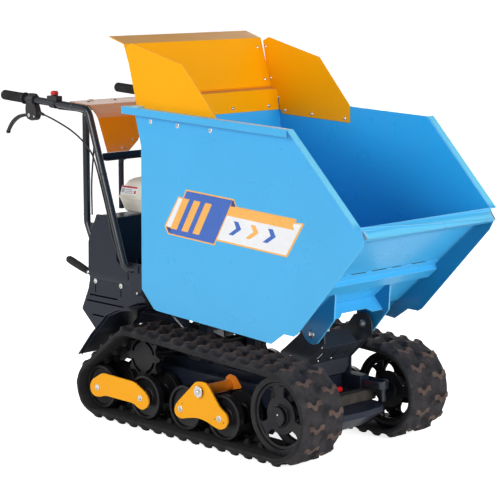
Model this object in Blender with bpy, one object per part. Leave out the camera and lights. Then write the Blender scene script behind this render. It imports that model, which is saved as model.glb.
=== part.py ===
"""Power wheelbarrow: a tracked carrier with a forward tipping tub, built piece by piece.

+X is the way it tips, +Y the machine's left, +Z up, and the ground is z = 0. Metres throughout.
Sides: -1 is the machine's right (names end in _R), +1 its left (names end in _L).
"""
import math

import bmesh
import bpy
from mathutils import Matrix, Vector

GAP = 0.0003  # clearance left between pieces that bear on each other
SIDES = ((-1, "R"), (1, "L"))
HALF_LENGTH = 0.884

TRACK_MIDDLE = 0.249
TRACK_HALF = 0.090
CARCASS = 0.010
LUG_HEIGHT = 0.021
LUG_PITCH = 0.060
ROLLER_Z = 0.1055
ROLLER_RADIUS = 0.0737
ROLLER_X = (-0.318, -0.097, 0.100, 0.281)
AXLE_RADIUS = 0.010
SPROCKET = (-0.150, 0.228, 0.0832)
IDLER = (0.527, 0.156, 0.125)
BOGIE_PIVOT = (0.193, 0.179)

TUB_PIVOT = (0.500, 0.384)
SHEET = 0.004
PANEL = 0.003
FLOOR_Z = 0.436
RAMP_START = (0.491, FLOOR_Z)
RAMP_END = (0.856, 0.770)
RIM_OUT = 0.0245
RIM_DEPTH = 0.023

BARREL_PIVOT = (0.240, 0.120)
ROD_PIN = (0.420, 0.365)

HANDLE_Y = 0.262
TUBE_RADIUS = 0.0125
RAIL_TOP = 0.215

PIVOTS = {
    "chassis": (0, 0, 0),
    "tub": (TUB_PIVOT[0], 0, TUB_PIVOT[1]),
    "barrel": (BARREL_PIVOT[0], 0, BARREL_PIVOT[1]),
    "rod": (ROD_PIN[0], 0, ROD_PIN[1]),
    "cap": (-0.260, -0.020, 0.806),
    "gear": (-0.463, -0.215, 0.463),
    "tip_lever": (-0.470, 0.120, 1.062),
}


# ---------- small tools ----------


def clear_scene():
    for item in list(bpy.data.objects):
        bpy.data.objects.remove(item, do_unlink=True)


def material(name, colour, metallic=0.0, roughness=0.5):
    made = bpy.data.materials.new(name)
    made.use_nodes = True
    shader = made.node_tree.nodes["Principled BSDF"]
    shader.inputs["Base Color"].default_value = (*colour, 1.0)
    shader.inputs["Metallic"].default_value = metallic
    shader.inputs["Roughness"].default_value = roughness
    made.diffuse_color = (*colour, 1.0)
    return made


def solid(verts, faces):
    """One closed mesh with its faces turned outwards."""
    mesh = bpy.data.meshes.new("solid")
    mesh.from_pydata([tuple(v) for v in verts], [], faces)
    work = bmesh.new()
    work.from_mesh(mesh)
    bmesh.ops.recalc_face_normals(work, faces=work.faces)
    work.to_mesh(mesh)
    work.free()
    made = bpy.data.objects.new("solid", mesh)
    bpy.context.scene.collection.objects.link(made)
    return made


def loft(rings):
    """A closed skin through rings of equal length, capped at both ends."""
    count = len(rings[0])
    verts = [point for ring in rings for point in ring]
    faces = [list(range(count)), list(range(len(verts) - count, len(verts)))]
    for step in range(len(rings) - 1):
        low = step * count
        for i in range(count):
            j = (i + 1) % count
            faces.append([low + i, low + j, low + count + j, low + count + i])
    return solid(verts, faces)


def plate_y(outline, start, end, side=1):
    """An (x, z) outline carried along Y. Start and end are numbers or functions of z."""
    rings = []
    for edge in (start, end):
        at = edge if callable(edge) else lambda z, fixed=edge: fixed
        rings.append([(x, side * at(z), z) for x, z in outline])
    return loft(rings)


def box(low, high):
    corners = [(low[0], low[1]), (high[0], low[1]), (high[0], high[1]), (low[0], high[1])]
    return loft([[(x, y, z) for x, y in corners] for z in (low[2], high[2])])


def side_box(x, y, z, side):
    """A box given by ranges, with its y range measured outwards from the middle."""
    ends = sorted((side * y[0], side * y[1]))
    return box((x[0], ends[0], z[0]), (x[1], ends[1], z[1]))


def lathe(origin, direction, profile, sides):
    """A cyclic (radius, distance) profile turned about the line from origin along direction."""
    along = Vector(direction).normalized()
    other = Vector((0, 0, 1)) if abs(along.z) < 0.9 else Vector((1, 0, 0))
    across = along.cross(other).normalized()
    up = across.cross(along)
    verts = []
    rings = []
    for radius, distance in profile:
        middle = Vector(origin) + along * distance
        count = 1 if radius == 0 else sides
        ring = []
        for i in range(count):
            angle = 2 * math.pi * i / sides
            ring.append(len(verts))
            verts.append(middle + radius * (math.cos(angle) * across + math.sin(angle) * up))
        rings.append(ring)
    faces = []
    for a, b in zip(rings, rings[1:] + rings[:1]):
        if len(a) == 1 and len(b) == 1:
            continue
        for i in range(sides):
            j = (i + 1) % sides
            quad = [a[i % len(a)], a[j % len(a)], b[j % len(b)], b[i % len(b)]]
            faces.append(list(dict.fromkeys(quad)))
    return solid(verts, faces)


def rod_y(x, z, radius, start, end, side=1, sides=20):
    """A round bar along Y."""
    length = end - start
    return lathe((x, side * start, z), (0, side, 0), [(0, 0), (radius, 0), (radius, length), (0, length)], sides)


def rounded(corners, radius, steps=5):
    """A 3-D line through the corners, with each inner corner turned into a bend."""
    points = [Vector(corners[0])]
    for before, corner, after in zip(corners, corners[1:], corners[2:]):
        corner = Vector(corner)
        back = (Vector(before) - corner).normalized()
        ahead = (Vector(after) - corner).normalized()
        half = back.angle(ahead) / 2
        reach = radius / math.tan(half)
        first = corner + back * reach
        last = corner + ahead * reach
        for i in range(steps + 1):
            t = i / steps
            points.append(first * (1 - t) ** 2 + corner * 2 * t * (1 - t) + last * t ** 2)
    points.append(Vector(corners[-1]))
    return points


def tube(points, radius, sides=12):
    """A solid round bar swept along a line of points."""
    points = [Vector(p) for p in points]
    rings = []
    up = None
    for i, point in enumerate(points):
        before = points[max(i - 1, 0)]
        after = points[min(i + 1, len(points) - 1)]
        along = (after - before).normalized()
        if up is None:
            up = along.cross(Vector((0, 1, 0))) if abs(along.y) < 0.9 else along.cross(Vector((1, 0, 0)))
        up = (up - along * up.dot(along)).normalized()
        across = along.cross(up)
        turn = 2 * math.pi / sides
        ring = [point + radius * (math.cos(k * turn) * up + math.sin(k * turn) * across) for k in range(sides)]
        rings.append(ring)
    return loft(rings)


def folded(points, thickness):
    """The closed outline of a folded sheet: the line itself and its copy moved to its left."""
    copies = []
    for i, point in enumerate(points):
        here = Vector(point)
        turns = []
        if i > 0:
            turns.append((here - Vector(points[i - 1])).normalized())
        if i < len(points) - 1:
            turns.append((Vector(points[i + 1]) - here).normalized())
        lefts = [Vector((-d.y, d.x)) for d in turns]
        middle = sum(lefts, Vector((0, 0))).normalized()
        copies.append(tuple(here + middle * (thickness / middle.dot(lefts[0]))))
    return [tuple(p) for p in points] + copies[::-1]


def combine(base, others, operation="UNION"):
    """Join to, or cut from, the base and bake the result."""
    for other in others:
        step = base.modifiers.new("step", "BOOLEAN")
        step.object = other
        step.operation = operation
        step.solver = "EXACT"
        bpy.context.view_layer.update()
        graph = bpy.context.evaluated_depsgraph_get()
        baked = bpy.data.meshes.new_from_object(base.evaluated_get(graph))
        base.modifiers.clear()
        base.data = baked
        bpy.data.objects.remove(other, do_unlink=True)
    return base


def cut(base, others):
    return combine(base, others, "DIFFERENCE")


def finish(made, name, coat, body="chassis"):
    """Name the piece, coat it and hang it on the empty at its body's joint."""
    mesh = made.data
    made.name = name
    mesh.name = name
    mesh.materials.clear()
    mesh.materials.append(coat)
    work = bmesh.new()
    work.from_mesh(mesh)
    bmesh.ops.remove_doubles(work, verts=work.verts, dist=1e-6)
    bmesh.ops.dissolve_limit(work, angle_limit=math.radians(0.5), verts=work.verts, edges=work.edges)
    bmesh.ops.triangulate(work, faces=work.faces)
    work.to_mesh(mesh)
    work.free()
    for face in mesh.polygons:
        face.material_index = 0
    mesh.shade_smooth()
    mesh.set_sharp_from_angle(angle=math.radians(32))
    pivot = Vector(PIVOTS[body])
    mesh.transform(Matrix.Translation(-pivot))
    made.parent = joints[body]
    return made


def make_joints():
    made = {}
    for name, at in PIVOTS.items():
        empty = bpy.data.objects.new("joint_" + name, None)
        empty.location = at
        bpy.context.scene.collection.objects.link(empty)
        made[name] = empty
    return made


# ---------- the tub ----------


def half_width(z):
    """Outer face of the tub's side panels, which lean outwards going up."""
    return 0.290 + 0.0317 * (z - 0.390)


def within(inset):
    """A function of z for a face this far inside the side panels' outer face."""
    return lambda z: half_width(z) - inset


def rim_z(x):
    """The top of the side rims falls slightly towards the front."""
    return 1.0681 - 0.0336 * (x + 0.158)


def ramp(along, below):
    """A point this far up the ramp's underside and this far out from it."""
    run = Vector(RAMP_END) - Vector(RAMP_START)
    run.normalize()
    return (
        RAMP_START[0] + run.x * along + run.y * below,
        RAMP_START[1] + run.y * along - run.x * below,
    )


def tub_tray():
    """Rear wall, floor, ramp and pouring lip, folded from one sheet."""
    lip = HALF_LENGTH - 0.0062
    line = [
        (-0.086, 1.0660),
        (-0.068, 0.941),
        (-0.086, 0.468),
        (-0.060, FLOOR_Z),
        RAMP_START,
        RAMP_END,
        (lip, 0.7425),
        (0.8560, 0.7320),
    ]
    edge = within(PANEL / 2)
    return plate_y(folded(line, SHEET), lambda z: -edge(z), edge)


def tub_side(side):
    outline = [
        (-0.126, rim_z(-0.126) - 0.0006),
        (-0.096, 0.941),
        (-0.116, 0.467),
        (-0.060, 0.408),
        (-0.046, 0.4035),
        (0.437, 0.377),
        (0.480, 0.373),
        (0.536, 0.412),
        (0.578, 0.411),
        (0.594, 0.420),
        (0.856, 0.707),
        (0.872, 0.738),
        (0.856, 0.7740),
        (0.588, rim_z(0.588) - 0.0006),
    ]
    return plate_y(outline, within(PANEL), within(0), side)


def tub_side_rim(side):
    """Flange turned outwards along the top of a side, with its edge turned down."""
    rings = []
    for x in (-0.1585, 0.5895):
        top = rim_z(x)
        face = half_width(top)
        section = [
            (face - PANEL / 2, top),
            (face + RIM_OUT, top),
            (face + RIM_OUT + 0.001, top - RIM_DEPTH),
            (face + RIM_OUT - 0.002, top - RIM_DEPTH),
            (face + RIM_OUT - 0.003, top - PANEL),
            (face - PANEL / 2, top - PANEL),
        ]
        rings.append([(x, side * y, z) for y, z in section])
    return loft(rings)


def tub_rear_rim():
    line = [(-0.084, 1.0674), (-0.1600, 1.0674), (-0.1605, 1.0450)]
    reach = half_width(1.067) + RIM_OUT - 0.001
    return plate_y(folded(line, PANEL), -reach, reach)


def tub_front_flange(side):
    """Flange turned outwards along a side's sloping front edge."""
    line = [(0.5905, 1.0436), (0.8575, 0.7745)]
    return plate_y(folded(line[::-1], 0.003), within(PANEL / 2), within(-RIM_OUT), side)


def make_tub(coats):
    tub = tub_tray()
    pieces = [tub_rear_rim()]
    for side, _ in SIDES:
        pieces += [tub_side(side), tub_side_rim(side), tub_front_flange(side)]
    finish(combine(tub, pieces), "tub", coats["tub_blue"], "tub")


def make_tub_rib(coats):
    """Shallow hat section across the underside of the ramp."""
    line = [(0.2300, GAP), (0.2030, GAP), (0.2000, 0.0162), (0.1570, 0.0160), (0.1525, GAP)]
    outline = [ramp(*point) for point in folded(line, -0.0025)]
    edge = within(PANEL + 2 * GAP)
    finish(plate_y(outline, lambda z: -edge(z), edge), "tub_rib", coats["tub_blue"], "tub")


def tub_flap():
    """Cross plate standing off the ramp between the hinge lugs, notched in the middle."""
    deep = 0.0525
    shallow = 0.0375
    outline = [
        (-0.126, GAP),
        (0.126, GAP),
        (0.126, deep),
        (0.075, deep),
        (0.055, shallow),
        (-0.055, shallow),
        (-0.075, deep),
        (-0.126, deep),
    ]
    rings = []
    for along in (0.0570, 0.0600):
        rings.append([(ramp(along, d)[0], y, ramp(along, d)[1]) for y, d in outline])
    return loft(rings)


def hinge_lug(side):
    top = FLOOR_Z - GAP
    outline = [
        (0.460, top),
        (RAMP_START[0], top),
        ramp(0.148, GAP),
        (0.595, 0.440),
        (0.529, 0.362),
        (0.519, 0.3545),
        (0.506, 0.3515),
        (0.492, 0.3535),
        (0.475, 0.3635),
        (0.461, 0.380),
        (0.458, 0.392),
    ]
    return plate_y(outline, 0.124, 0.130, side)


def make_tub_hinge(coats):
    """Two lugs and the plate between them, welded under the ramp and bored for the hinge pin."""
    made = combine(tub_flap(), [hinge_lug(side) for side, _ in SIDES])
    made = cut(made, [rod_y(*TUB_PIVOT, 0.0115, -0.150, 0.150)])
    finish(made, "tub_hinge", coats["tub_blue"], "tub")


def make_cylinder_ears(coats):
    """Fork under the floor that holds the tipping cylinder's rod pin."""
    top = FLOOR_Z - GAP
    plate = box((0.375, -0.040, top - 0.004), (0.452, 0.040, top))
    outline = [(0.386, top - 0.002), (0.446, top - 0.002), (0.434, 0.352), (0.406, 0.352)]
    ears = [plate_y(outline, 0.012, 0.018, side) for side, _ in SIDES]
    pin = rod_y(*ROD_PIN, 0.008, -0.021, 0.021, 1, 16)
    finish(combine(plate, ears + [pin]), "tub_cylinder_ears", coats["frame"], "tub")


def make_extension(coats):
    """Bolt-on splash guard: two wings, a leaning rear board and the strip it stands on."""
    wing = [
        (-0.160, 1.258),
        (-0.115, 1.0720),
        (-0.0755, 1.0700),
        (-0.0705, 1.0270),
        (-0.054, 1.011),
        (0.257, 1.000),
        (0.254, 1.058),
        (0.110, 1.212),
        (-0.132, 1.271),
    ]
    for side, tag in SIDES:
        made = plate_y(wing, within(0.0064), within(0.0034), side)
        finish(made, "extension_wing_" + tag, coats["wing_yellow"], "tub")
    edge = within(0.0070)
    board = [(-0.1165, 1.1040), (-0.1730, 1.2650), (-0.2450, 1.2870)]
    finish(plate_y(folded(board, -0.003), lambda z: -edge(z), edge), "extension_board", coats["wing_yellow"], "tub")
    strip = [(-0.0757, 1.0250), (-0.0854, 1.0925), (-0.1210, 1.0975)]
    finish(plate_y(folded(strip, -0.003), lambda z: -edge(z), edge), "extension_strip", coats["wing_yellow"], "tub")


# ---------- the chassis ----------


def front_bracket_side(side):
    top = []
    for degrees in (15, 45, 75, 105, 130):
        angle = math.radians(degrees)
        top.append((TUB_PIVOT[0] + 0.038 * math.cos(angle), TUB_PIVOT[1] + 0.038 * math.sin(angle)))
    foot = RAIL_TOP + GAP
    outline = [(0.449, foot), (0.449, 0.268), (0.541, 0.356)]
    outline += top
    outline += [(0.461, 0.409), (0.430, 0.371), (0.379, 0.328), (0.348, 0.303), (0.348, foot)]
    return plate_y(outline, 0.108, 0.114, side)


def slope_slot(y):
    """Cutter for one slot along the bracket web's sloping leg."""
    ends = [Vector((0.458, 0, 0.281)), Vector((0.490, 0, 0.312))]
    normal = Vector((0.69, 0, -0.72)) * 0.02
    rings = []
    for middle in ends:
        ring = [middle + normal, middle - normal]
        rings.append([(p.x, y + dy, p.z) for p, dy in ((ring[0], -0.006), (ring[0], 0.006), (ring[1], 0.006), (ring[1], -0.006))])
    return loft(rings)


def make_front_bracket(coats):
    """Two upright cheeks joined by a folded web; the tub tips about the pin at their top."""
    lower = [(0.508, 0.330), (0.440, 0.265), (0.440, 0.2200)]
    upper = [(0.460, 0.366), (0.508, 0.330), (0.499, 0.3215)]
    web = plate_y(folded(lower, -0.004), -0.110, 0.110)
    web = combine(web, [plate_y(folded(upper, -0.004), -0.070, 0.070)])
    web = cut(web, [slope_slot(y) for y in (-0.060, 0.0, 0.060)])
    web = combine(web, [front_bracket_side(side) for side, _ in SIDES])
    web = cut(web, [rod_y(*TUB_PIVOT, 0.0114, -0.125, 0.125)])
    finish(web, "front_bracket", coats["frame"])


def make_hinge_pin(coats):
    half = [(0.011, 0.1145), (0.018, 0.1145), (0.018, 0.1235), (0.011, 0.1235), (0.011, 0.1305), (0.016, 0.1305), (0.016, 0.140), (0, 0.140)]
    profile = [(radius, -distance) for radius, distance in half[::-1]] + half
    made = lathe((TUB_PIVOT[0], 0, TUB_PIVOT[1]), (0, 1, 0), profile, 12)
    finish(made, "hinge_pin", coats["zinc"])


def guard_bar(side):
    """Flat bar bent into a U in front of the rails."""
    corners = [(0.420, 0.127, 0), (0.445, 0.139, 0), (0.588, 0.139, 0), (0.588, 0.101, 0), (0.480, 0.101, 0)]
    line = [(p.x, p.y) for p in rounded(corners[1:], 0.018, 4)]
    line = [corners[0][:2]] + line
    outline = folded(line, 0.005)
    return loft([[(x, side * y, z) for x, y in outline] for z in (0.180, 0.206)])


def track_beam(side):
    """Inner side beam with hangers for the fixed roller axles."""
    outline = [
        (-0.338, 0.088),
        (-0.298, 0.088),
        (-0.285, 0.130),
        (-0.130, 0.130),
        (-0.117, 0.088),
        (-0.077, 0.088),
        (-0.064, 0.130),
        (0.455, 0.130),
        (0.455, 0.195),
        (-0.285, 0.195),
        (-0.338, 0.155),
    ]
    return plate_y(outline, 0.165, 0.185, side)


def base_ear(side):
    outline = [(0.150, 0.188), (0.150, 0.150), (0.225, 0.096), (0.255, 0.096), (0.262, 0.125), (0.200, 0.188)]
    return plate_y(outline, 0.031, 0.037, side)


def skid_box():
    """Low box ahead of the rails with a chamfered nose."""
    outline = [(0.400, 0.055), (0.590, 0.055), (0.613, 0.080), (0.603, 0.120), (0.592, 0.141), (0.400, 0.141)]
    half = 0.120
    wide = plate_y(outline, -half, half)
    corners = []
    for side, _ in SIDES:
        ring = [(0.575, side * 0.130), (0.630, side * 0.130), (0.630, side * 0.085)]
        corners.append(loft([[(x, y, z) for x, y in ring] for z in (0.040, 0.160)]))
    return cut(wide, corners)


def chassis_side(side):
    """Rail, beam, stubs, axles, posts and handle mount of one side."""
    pieces = [
        side_box((-0.430, 0.510), (0.090, 0.130), (0.165, RAIL_TOP), side),
        track_beam(side),
        guard_bar(side),
        rod_y(IDLER[0], IDLER[1], 0.0125, 0.120, 0.3005, side, 16),
        rod_y(*BOGIE_PIVOT, AXLE_RADIUS, 0.175, 0.3240, side, 16),
        rod_y(*BOGIE_PIVOT, 0.019, 0.3222, 0.3290, side, 16),
        side_box((-0.222, -0.190), (0.100, 0.131), (0.205, 0.545), side),
        side_box((-0.205, -0.150), (0.1205, 0.148), (0.485, 0.5455), side),
        side_box((-0.385, -0.350), (0.100, 0.1295), (0.205, 0.350), side),
        side_box((-0.020, 0.020), (0.095, 0.125), (0.205, 0.4300), side),
    ]
    for x in (-0.285, 0.050, 0.380):
        pieces.append(side_box((x, x + 0.040), (0.120, 0.175), (0.168, 0.193), side))
    return pieces


def make_chassis(coats):
    """Welded frame: rails, cross members, track beams, axles, engine deck, mounts and nose box."""
    frame = box((-0.425, -0.100, 0.170), (-0.385, 0.100, 0.210))
    pieces = [
        box((-0.235, -0.100, 0.1655), (-0.065, 0.100, 0.1695)),
        box((0.140, -0.100, 0.170), (0.185, 0.100, 0.208)),
        box((0.395, -0.100, 0.170), (0.425, 0.100, 0.208)),
        box((-0.0215, -0.128, 0.4100), (0.0215, 0.128, 0.4285)),
        box((0.5025, -0.135, 0.1385), (0.5375, 0.135, 0.1735)),
        box((-0.440, -0.150, 0.3450), (-0.145, 0.150, 0.3570)),
    ]
    for side, _ in SIDES:
        pieces += chassis_side(side)
        pieces.append(base_ear(side))
    pieces.append(rod_y(*BARREL_PIVOT, 0.010, -0.040, 0.040, 1, 16))
    pieces.append(skid_box())
    finish(combine(frame, pieces), "chassis_frame", coats["frame"])


# ---------- the tracks ----------


def belt_circles():
    return [IDLER, SPROCKET, (ROLLER_X[0], ROLLER_Z, 0.0745)]


def belt_path():
    """The belt's inner line and outward directions: the tight loop round the three wheels."""
    circles = belt_circles()
    spans = []
    for (ax, az, ar), (bx, bz, br) in zip(circles, circles[1:] + circles[:1]):
        run = math.atan2(bz - az, bx - ax)
        reach = math.hypot(bx - ax, bz - az)
        spans.append(run - math.acos((ar - br) / reach))
    samples = []
    for i, (x, z, radius) in enumerate(circles):
        start = spans[i - 1]
        end = spans[i]
        while end < start:
            end += 2 * math.pi
        steps = math.ceil((end - start) * radius / 0.010)
        for k in range(steps + 1):
            angle = start + (end - start) * k / steps
            normal = Vector((math.cos(angle), math.sin(angle)))
            samples.append((Vector((x, z)) + radius * normal, normal))
    return samples


def belt_at(samples, lengths, at):
    """The point and outward direction at a distance along the loop."""
    total = lengths[-1]
    at %= total
    for i in range(len(samples)):
        if at <= lengths[i + 1] + 1e-12:
            share = (at - lengths[i]) / (lengths[i + 1] - lengths[i])
            here, normal = samples[i]
            there, turn = samples[(i + 1) % len(samples)]
            return here.lerp(there, share), normal.lerp(turn, share).normalized()
    return samples[0]


def make_belt(coats, side, tag):
    """Rubber belt with its tread lugs as one closed band."""
    samples = belt_path()
    lengths = [0.0]
    for (here, _), (there, _) in zip(samples, samples[1:] + samples[:1]):
        lengths.append(lengths[-1] + (there - here).length)
    count = round(lengths[-1] / LUG_PITCH)
    pitch = lengths[-1] / count
    inner = []
    outer = []
    for k in range(count):
        for share, height in ((0.0, 0), (0.07, 1), (0.25, 1), (0.43, 1), (0.50, 0), (0.75, 0)):
            point, normal = belt_at(samples, lengths, (k + share) * pitch)
            inner.append(point)
            outer.append(point + normal * (CARCASS + LUG_HEIGHT * height))
    total = len(inner)
    verts = []
    for y in (TRACK_MIDDLE - TRACK_HALF, TRACK_MIDDLE + TRACK_HALF):
        for ring in (inner, outer):
            verts += [(p.x, side * y, p.y) for p in ring]
    faces = []
    for i in range(total):
        j = (i + 1) % total
        faces.append([i, j, total + j, total + i])
        faces.append([2 * total + i, 3 * total + i, 3 * total + j, 2 * total + j])
        faces.append([i, 2 * total + i, 2 * total + j, j])
        faces.append([total + i, total + j, 3 * total + j, 3 * total + i])
    finish(solid(verts, faces), "track_belt_" + tag, coats["track_rubber"])


def make_roller(coats, side, tag, index):
    """Twin-flanged road wheel turning on a fixed axle."""
    half = [
        (0.0104, 0.058),
        (0.027, 0.058),
        (0.030, 0.041),
        (0.066, 0.054),
        (ROLLER_RADIUS, 0.054),
        (ROLLER_RADIUS, 0.031),
        (0.027, 0.031),
    ]
    profile = half + [(radius, -distance) for radius, distance in half[::-1]]
    x = ROLLER_X[index]
    made = lathe((x, side * TRACK_MIDDLE, ROLLER_Z), (0, 1, 0), profile, 16)
    body = f"roller_{tag}{index + 1}"
    finish(made, body, coats["wheel_iron"], body)


def make_sprocket(coats, side, tag):
    """Toothed drive wheel on the shaft that comes out of the gearbox."""
    x, z, _ = SPROCKET
    teeth = 10
    outline = []
    for k in range(teeth):
        for offset, radius in ((-0.28, 0.066), (-0.11, 0.0822), (0.11, 0.0822), (0.28, 0.066)):
            angle = 2 * math.pi * (k + offset) / teeth
            outline.append((x + radius * math.cos(angle), z + radius * math.sin(angle)))
    disc = plate_y(outline, TRACK_MIDDLE - 0.011, TRACK_MIDDLE + 0.011, side)
    hub = rod_y(x, z, 0.030, 0.222, 0.272, side)
    shaft = rod_y(x, z, 0.0125, 0.073, 0.284, side, 16)
    body = "sprocket_" + tag
    finish(combine(disc, [hub, shaft]), "drive_sprocket_" + tag, coats["wheel_iron"], body)


def idler_window(middle_degrees):
    """Cutter for one opening between two spokes."""
    x, z, _ = IDLER
    inner = []
    outer = []
    for k in range(6):
        angle = math.radians(middle_degrees - 43 + 86 * k / 5)
        inner.append((x + 0.056 * math.cos(angle), z + 0.056 * math.sin(angle)))
        outer.append((x + 0.099 * math.cos(angle), z + 0.099 * math.sin(angle)))
    return inner + outer[::-1]


def make_idler(coats, side, tag, first_spoke):
    """Front guide wheel: two open rims on one hub, three spokes each."""
    x, z, _ = IDLER
    half = [
        (0.0130, 0.050),
        (0.050, 0.0475),
        (0.101, 0.044),
        (0.103, 0.052),
        (0.1243, 0.052),
        (0.1243, 0.031),
        (0.103, 0.033),
        (0.035, 0.033),
    ]
    profile = half + [(radius, -distance) for radius, distance in half[::-1]]
    wheel = lathe((x, side * TRACK_MIDDLE, z), (0, 1, 0), profile, 28)
    cutters = []
    for k in range(3):
        cutters.append(plate_y(idler_window(first_spoke + 60 + 120 * k), 0.180, 0.320, side))
    body = "idler_" + tag
    finish(cut(wheel, cutters), "idler_wheel_" + tag, coats["wheel_iron"], body)


def make_rear_link(coats, side, tag):
    """Outer plate that carries the two fixed road wheels on its axles."""
    outline = [
        (-0.290, 0.160),
        (-0.345, 0.128),
        (-0.355, 0.108),
        (-0.354, 0.089),
        (-0.337, 0.073),
        (-0.304, 0.074),
        (-0.276, 0.084),
        (-0.131, 0.083),
        (-0.106, 0.070),
        (-0.084, 0.068),
        (-0.060, 0.083),
        (-0.052, 0.105),
        (-0.070, 0.129),
        (-0.128, 0.156),
    ]
    plate = plate_y(outline, 0.3155, 0.3215, side)
    axles = [rod_y(x, ROLLER_Z, AXLE_RADIUS, 0.1853, 0.3180, side, 16) for x in ROLLER_X[:2]]
    finish(combine(plate, axles), "rear_link_" + tag, coats["link_yellow"])


def make_bogie(coats, side, tag):
    """Rocking plate with a long sleeve on the pivot and axles for two road wheels."""
    outline = [
        (0.190, 0.211),
        (0.173, 0.207),
        (0.079, 0.120),
        (0.070, 0.097),
        (0.078, 0.081),
        (0.104, 0.073),
        (0.138, 0.083),
        (0.181, 0.091),
        (0.222, 0.087),
        (0.264, 0.074),
        (0.288, 0.071),
        (0.309, 0.080),
        (0.323, 0.100),
        (0.317, 0.125),
        (0.284, 0.142),
        (0.235, 0.200),
        (0.219, 0.212),
    ]
    plate = plate_y(outline, 0.3155, 0.3215, side)
    pieces = [rod_y(x, ROLLER_Z, AXLE_RADIUS, 0.1890, 0.3180, side, 16) for x in ROLLER_X[2:]]
    pieces.append(rod_y(*BOGIE_PIVOT, 0.018, 0.1880, 0.3185, side, 16))
    made = combine(plate, pieces)
    made = cut(made, [rod_y(*BOGIE_PIVOT, AXLE_RADIUS + 0.0005, 0.170, 0.340, side, 16)])
    body = "bogie_" + tag
    finish(made, "front_bogie_" + tag, coats["link_yellow"], body)


# ---------- the drive ----------


def stack(levels, chamfer):
    """A body of level rings, each (z, x0, x1, y0, y1) with chamfered corners."""
    rings = []
    for z, x0, x1, y0, y1 in levels:
        c = chamfer
        ring = [(x0 + c, y0), (x1 - c, y0), (x1, y0 + c), (x1, y1 - c), (x1 - c, y1), (x0 + c, y1), (x0, y1 - c), (x0, y0 + c)]
        rings.append([(x, y, z) for x, y in ring])
    return loft(rings)


def make_engine(coats):
    """Small single-cylinder engine: crankcase, finned barrel, blower housing, exhaust, air box."""
    case = stack([(0.3575, -0.425, -0.245, -0.095, 0.118), (0.505, -0.425, -0.245, -0.095, 0.118)], 0.015)
    fins = [box((-0.395, -0.060, 0.500), (-0.300, 0.075, 0.672))]
    for k in range(6):
        z = 0.520 + 0.020 * k
        fins.append(box((-0.405, -0.070, z), (-0.288, 0.085, z + 0.008)))
    fins.append(box((-0.385, -0.050, 0.665), (-0.315, 0.050, 0.6735)))
    profile = [(0, 0), (0.092, 0), (0.092, 0.050), (0.070, 0.066), (0.052, 0.066), (0.040, 0.080), (0, 0.080)]
    fins.append(lathe((-0.335, 0.1130, 0.470), (0, 1, 0), profile, 24))
    finish(combine(case, fins), "engine_block", coats["aluminium"])
    exhaust = stack([(0.572, -0.398, -0.320, 0.088, 0.190), (0.670, -0.398, -0.320, 0.088, 0.190)], 0.020)
    finish(exhaust, "exhaust_box", coats["steel"])
    air = stack([(0.572, -0.310, -0.225, 0.088, 0.195), (0.660, -0.310, -0.225, 0.088, 0.195), (0.674, -0.300, -0.235, 0.098, 0.185)], 0.020)
    finish(air, "air_cleaner", coats["black_plastic"])


def make_gearbox(coats):
    """Transmission between the rails, with a socket each side for the drive shafts."""
    x, z, _ = SPROCKET
    case = stack([(0.1700, -0.215, -0.085, -0.080, 0.080), (0.285, -0.205, -0.095, -0.070, 0.070)], 0.015)
    case = combine(case, [rod_y(x, z, 0.036, -0.0890, 0.0890)])
    sockets = [rod_y(x, z, 0.0130, 0.070, 0.100, side, 16) for side, _ in SIDES]
    finish(cut(case, sockets), "gearbox", coats["aluminium"])


def make_tanks(coats):
    tank = stack(
        [
            (0.6850, -0.372, -0.225, -0.140, 0.025),
            (0.7340, -0.395, -0.202, -0.162, 0.047),
            (0.7350, -0.400, -0.197, -0.167, 0.052),
            (0.7400, -0.400, -0.197, -0.167, 0.052),
            (0.7410, -0.394, -0.203, -0.161, 0.046),
            (0.7880, -0.372, -0.225, -0.140, 0.026),
            (0.8050, -0.345, -0.240, -0.115, 0.010),
        ],
        0.025,
    )
    finish(tank, "fuel_tank", coats["cream"])
    profile = [(0, 0), (0.030, 0), (0.031, 0.012), (0.026, 0.020), (0, 0.020)]
    finish(lathe((-0.260, -0.020, 0.8055), (0, 0, 1), profile, 20), "fuel_cap", coats["black_plastic"], "cap")
    oil = stack([(0.470, -0.435, -0.306, -0.232, -0.128), (0.672, -0.395, -0.306, -0.232, -0.128)], 0.012)
    finish(oil, "hydraulic_oil_tank", coats["frame"])


def make_covers(coats):
    """Thin panels round the engine, and the curved guards over the rear of the tracks."""
    rear = [
        (-0.303, 0.6790),
        (-0.4040, 0.6770),
        (-0.4470, 0.5850),
        (-0.4490, 0.4860),
        (-0.4510, 0.4180),
        (-0.4860, 0.3430),
        (-0.4060, 0.2740),
    ]
    made = plate_y(folded(rear, 0.002), -0.2385, 0.2385)
    front = box((-0.3050, -0.2380, 0.5300), (-0.3020, -0.1250, 0.6785))
    finish(combine(made, [front]), "rear_cover", coats["frame"])
    outline = [
        (-0.4060, 0.6810),
        (-0.4500, 0.5850),
        (-0.4520, 0.4860),
        (-0.4540, 0.4180),
        (-0.4900, 0.3430),
        (-0.4060, 0.2700),
        (-0.3360, 0.3120),
        (-0.2550, 0.3780),
        (-0.1970, 0.4010),
        (-0.1530, 0.4100),
        (-0.1620, 0.4200),
        (-0.2230, 0.4710),
        (-0.2380, 0.5000),
        (-0.2970, 0.5300),
        (-0.2970, 0.6820),
    ]
    fender = [(-0.4400, 0.2000), (-0.3330, 0.2980), (-0.2530, 0.3650), (-0.1970, 0.3900), (-0.1340, 0.4020)]
    for side, tag in SIDES:
        finish(plate_y(outline, 0.2390, 0.2415, side), "side_panel_" + tag, coats["frame"])
        guard = plate_y(folded(fender, 0.003), 0.162, 0.332, side)
        finish(guard, "track_guard_" + tag, coats["frame"])


# ---------- the controls ----------


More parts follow.
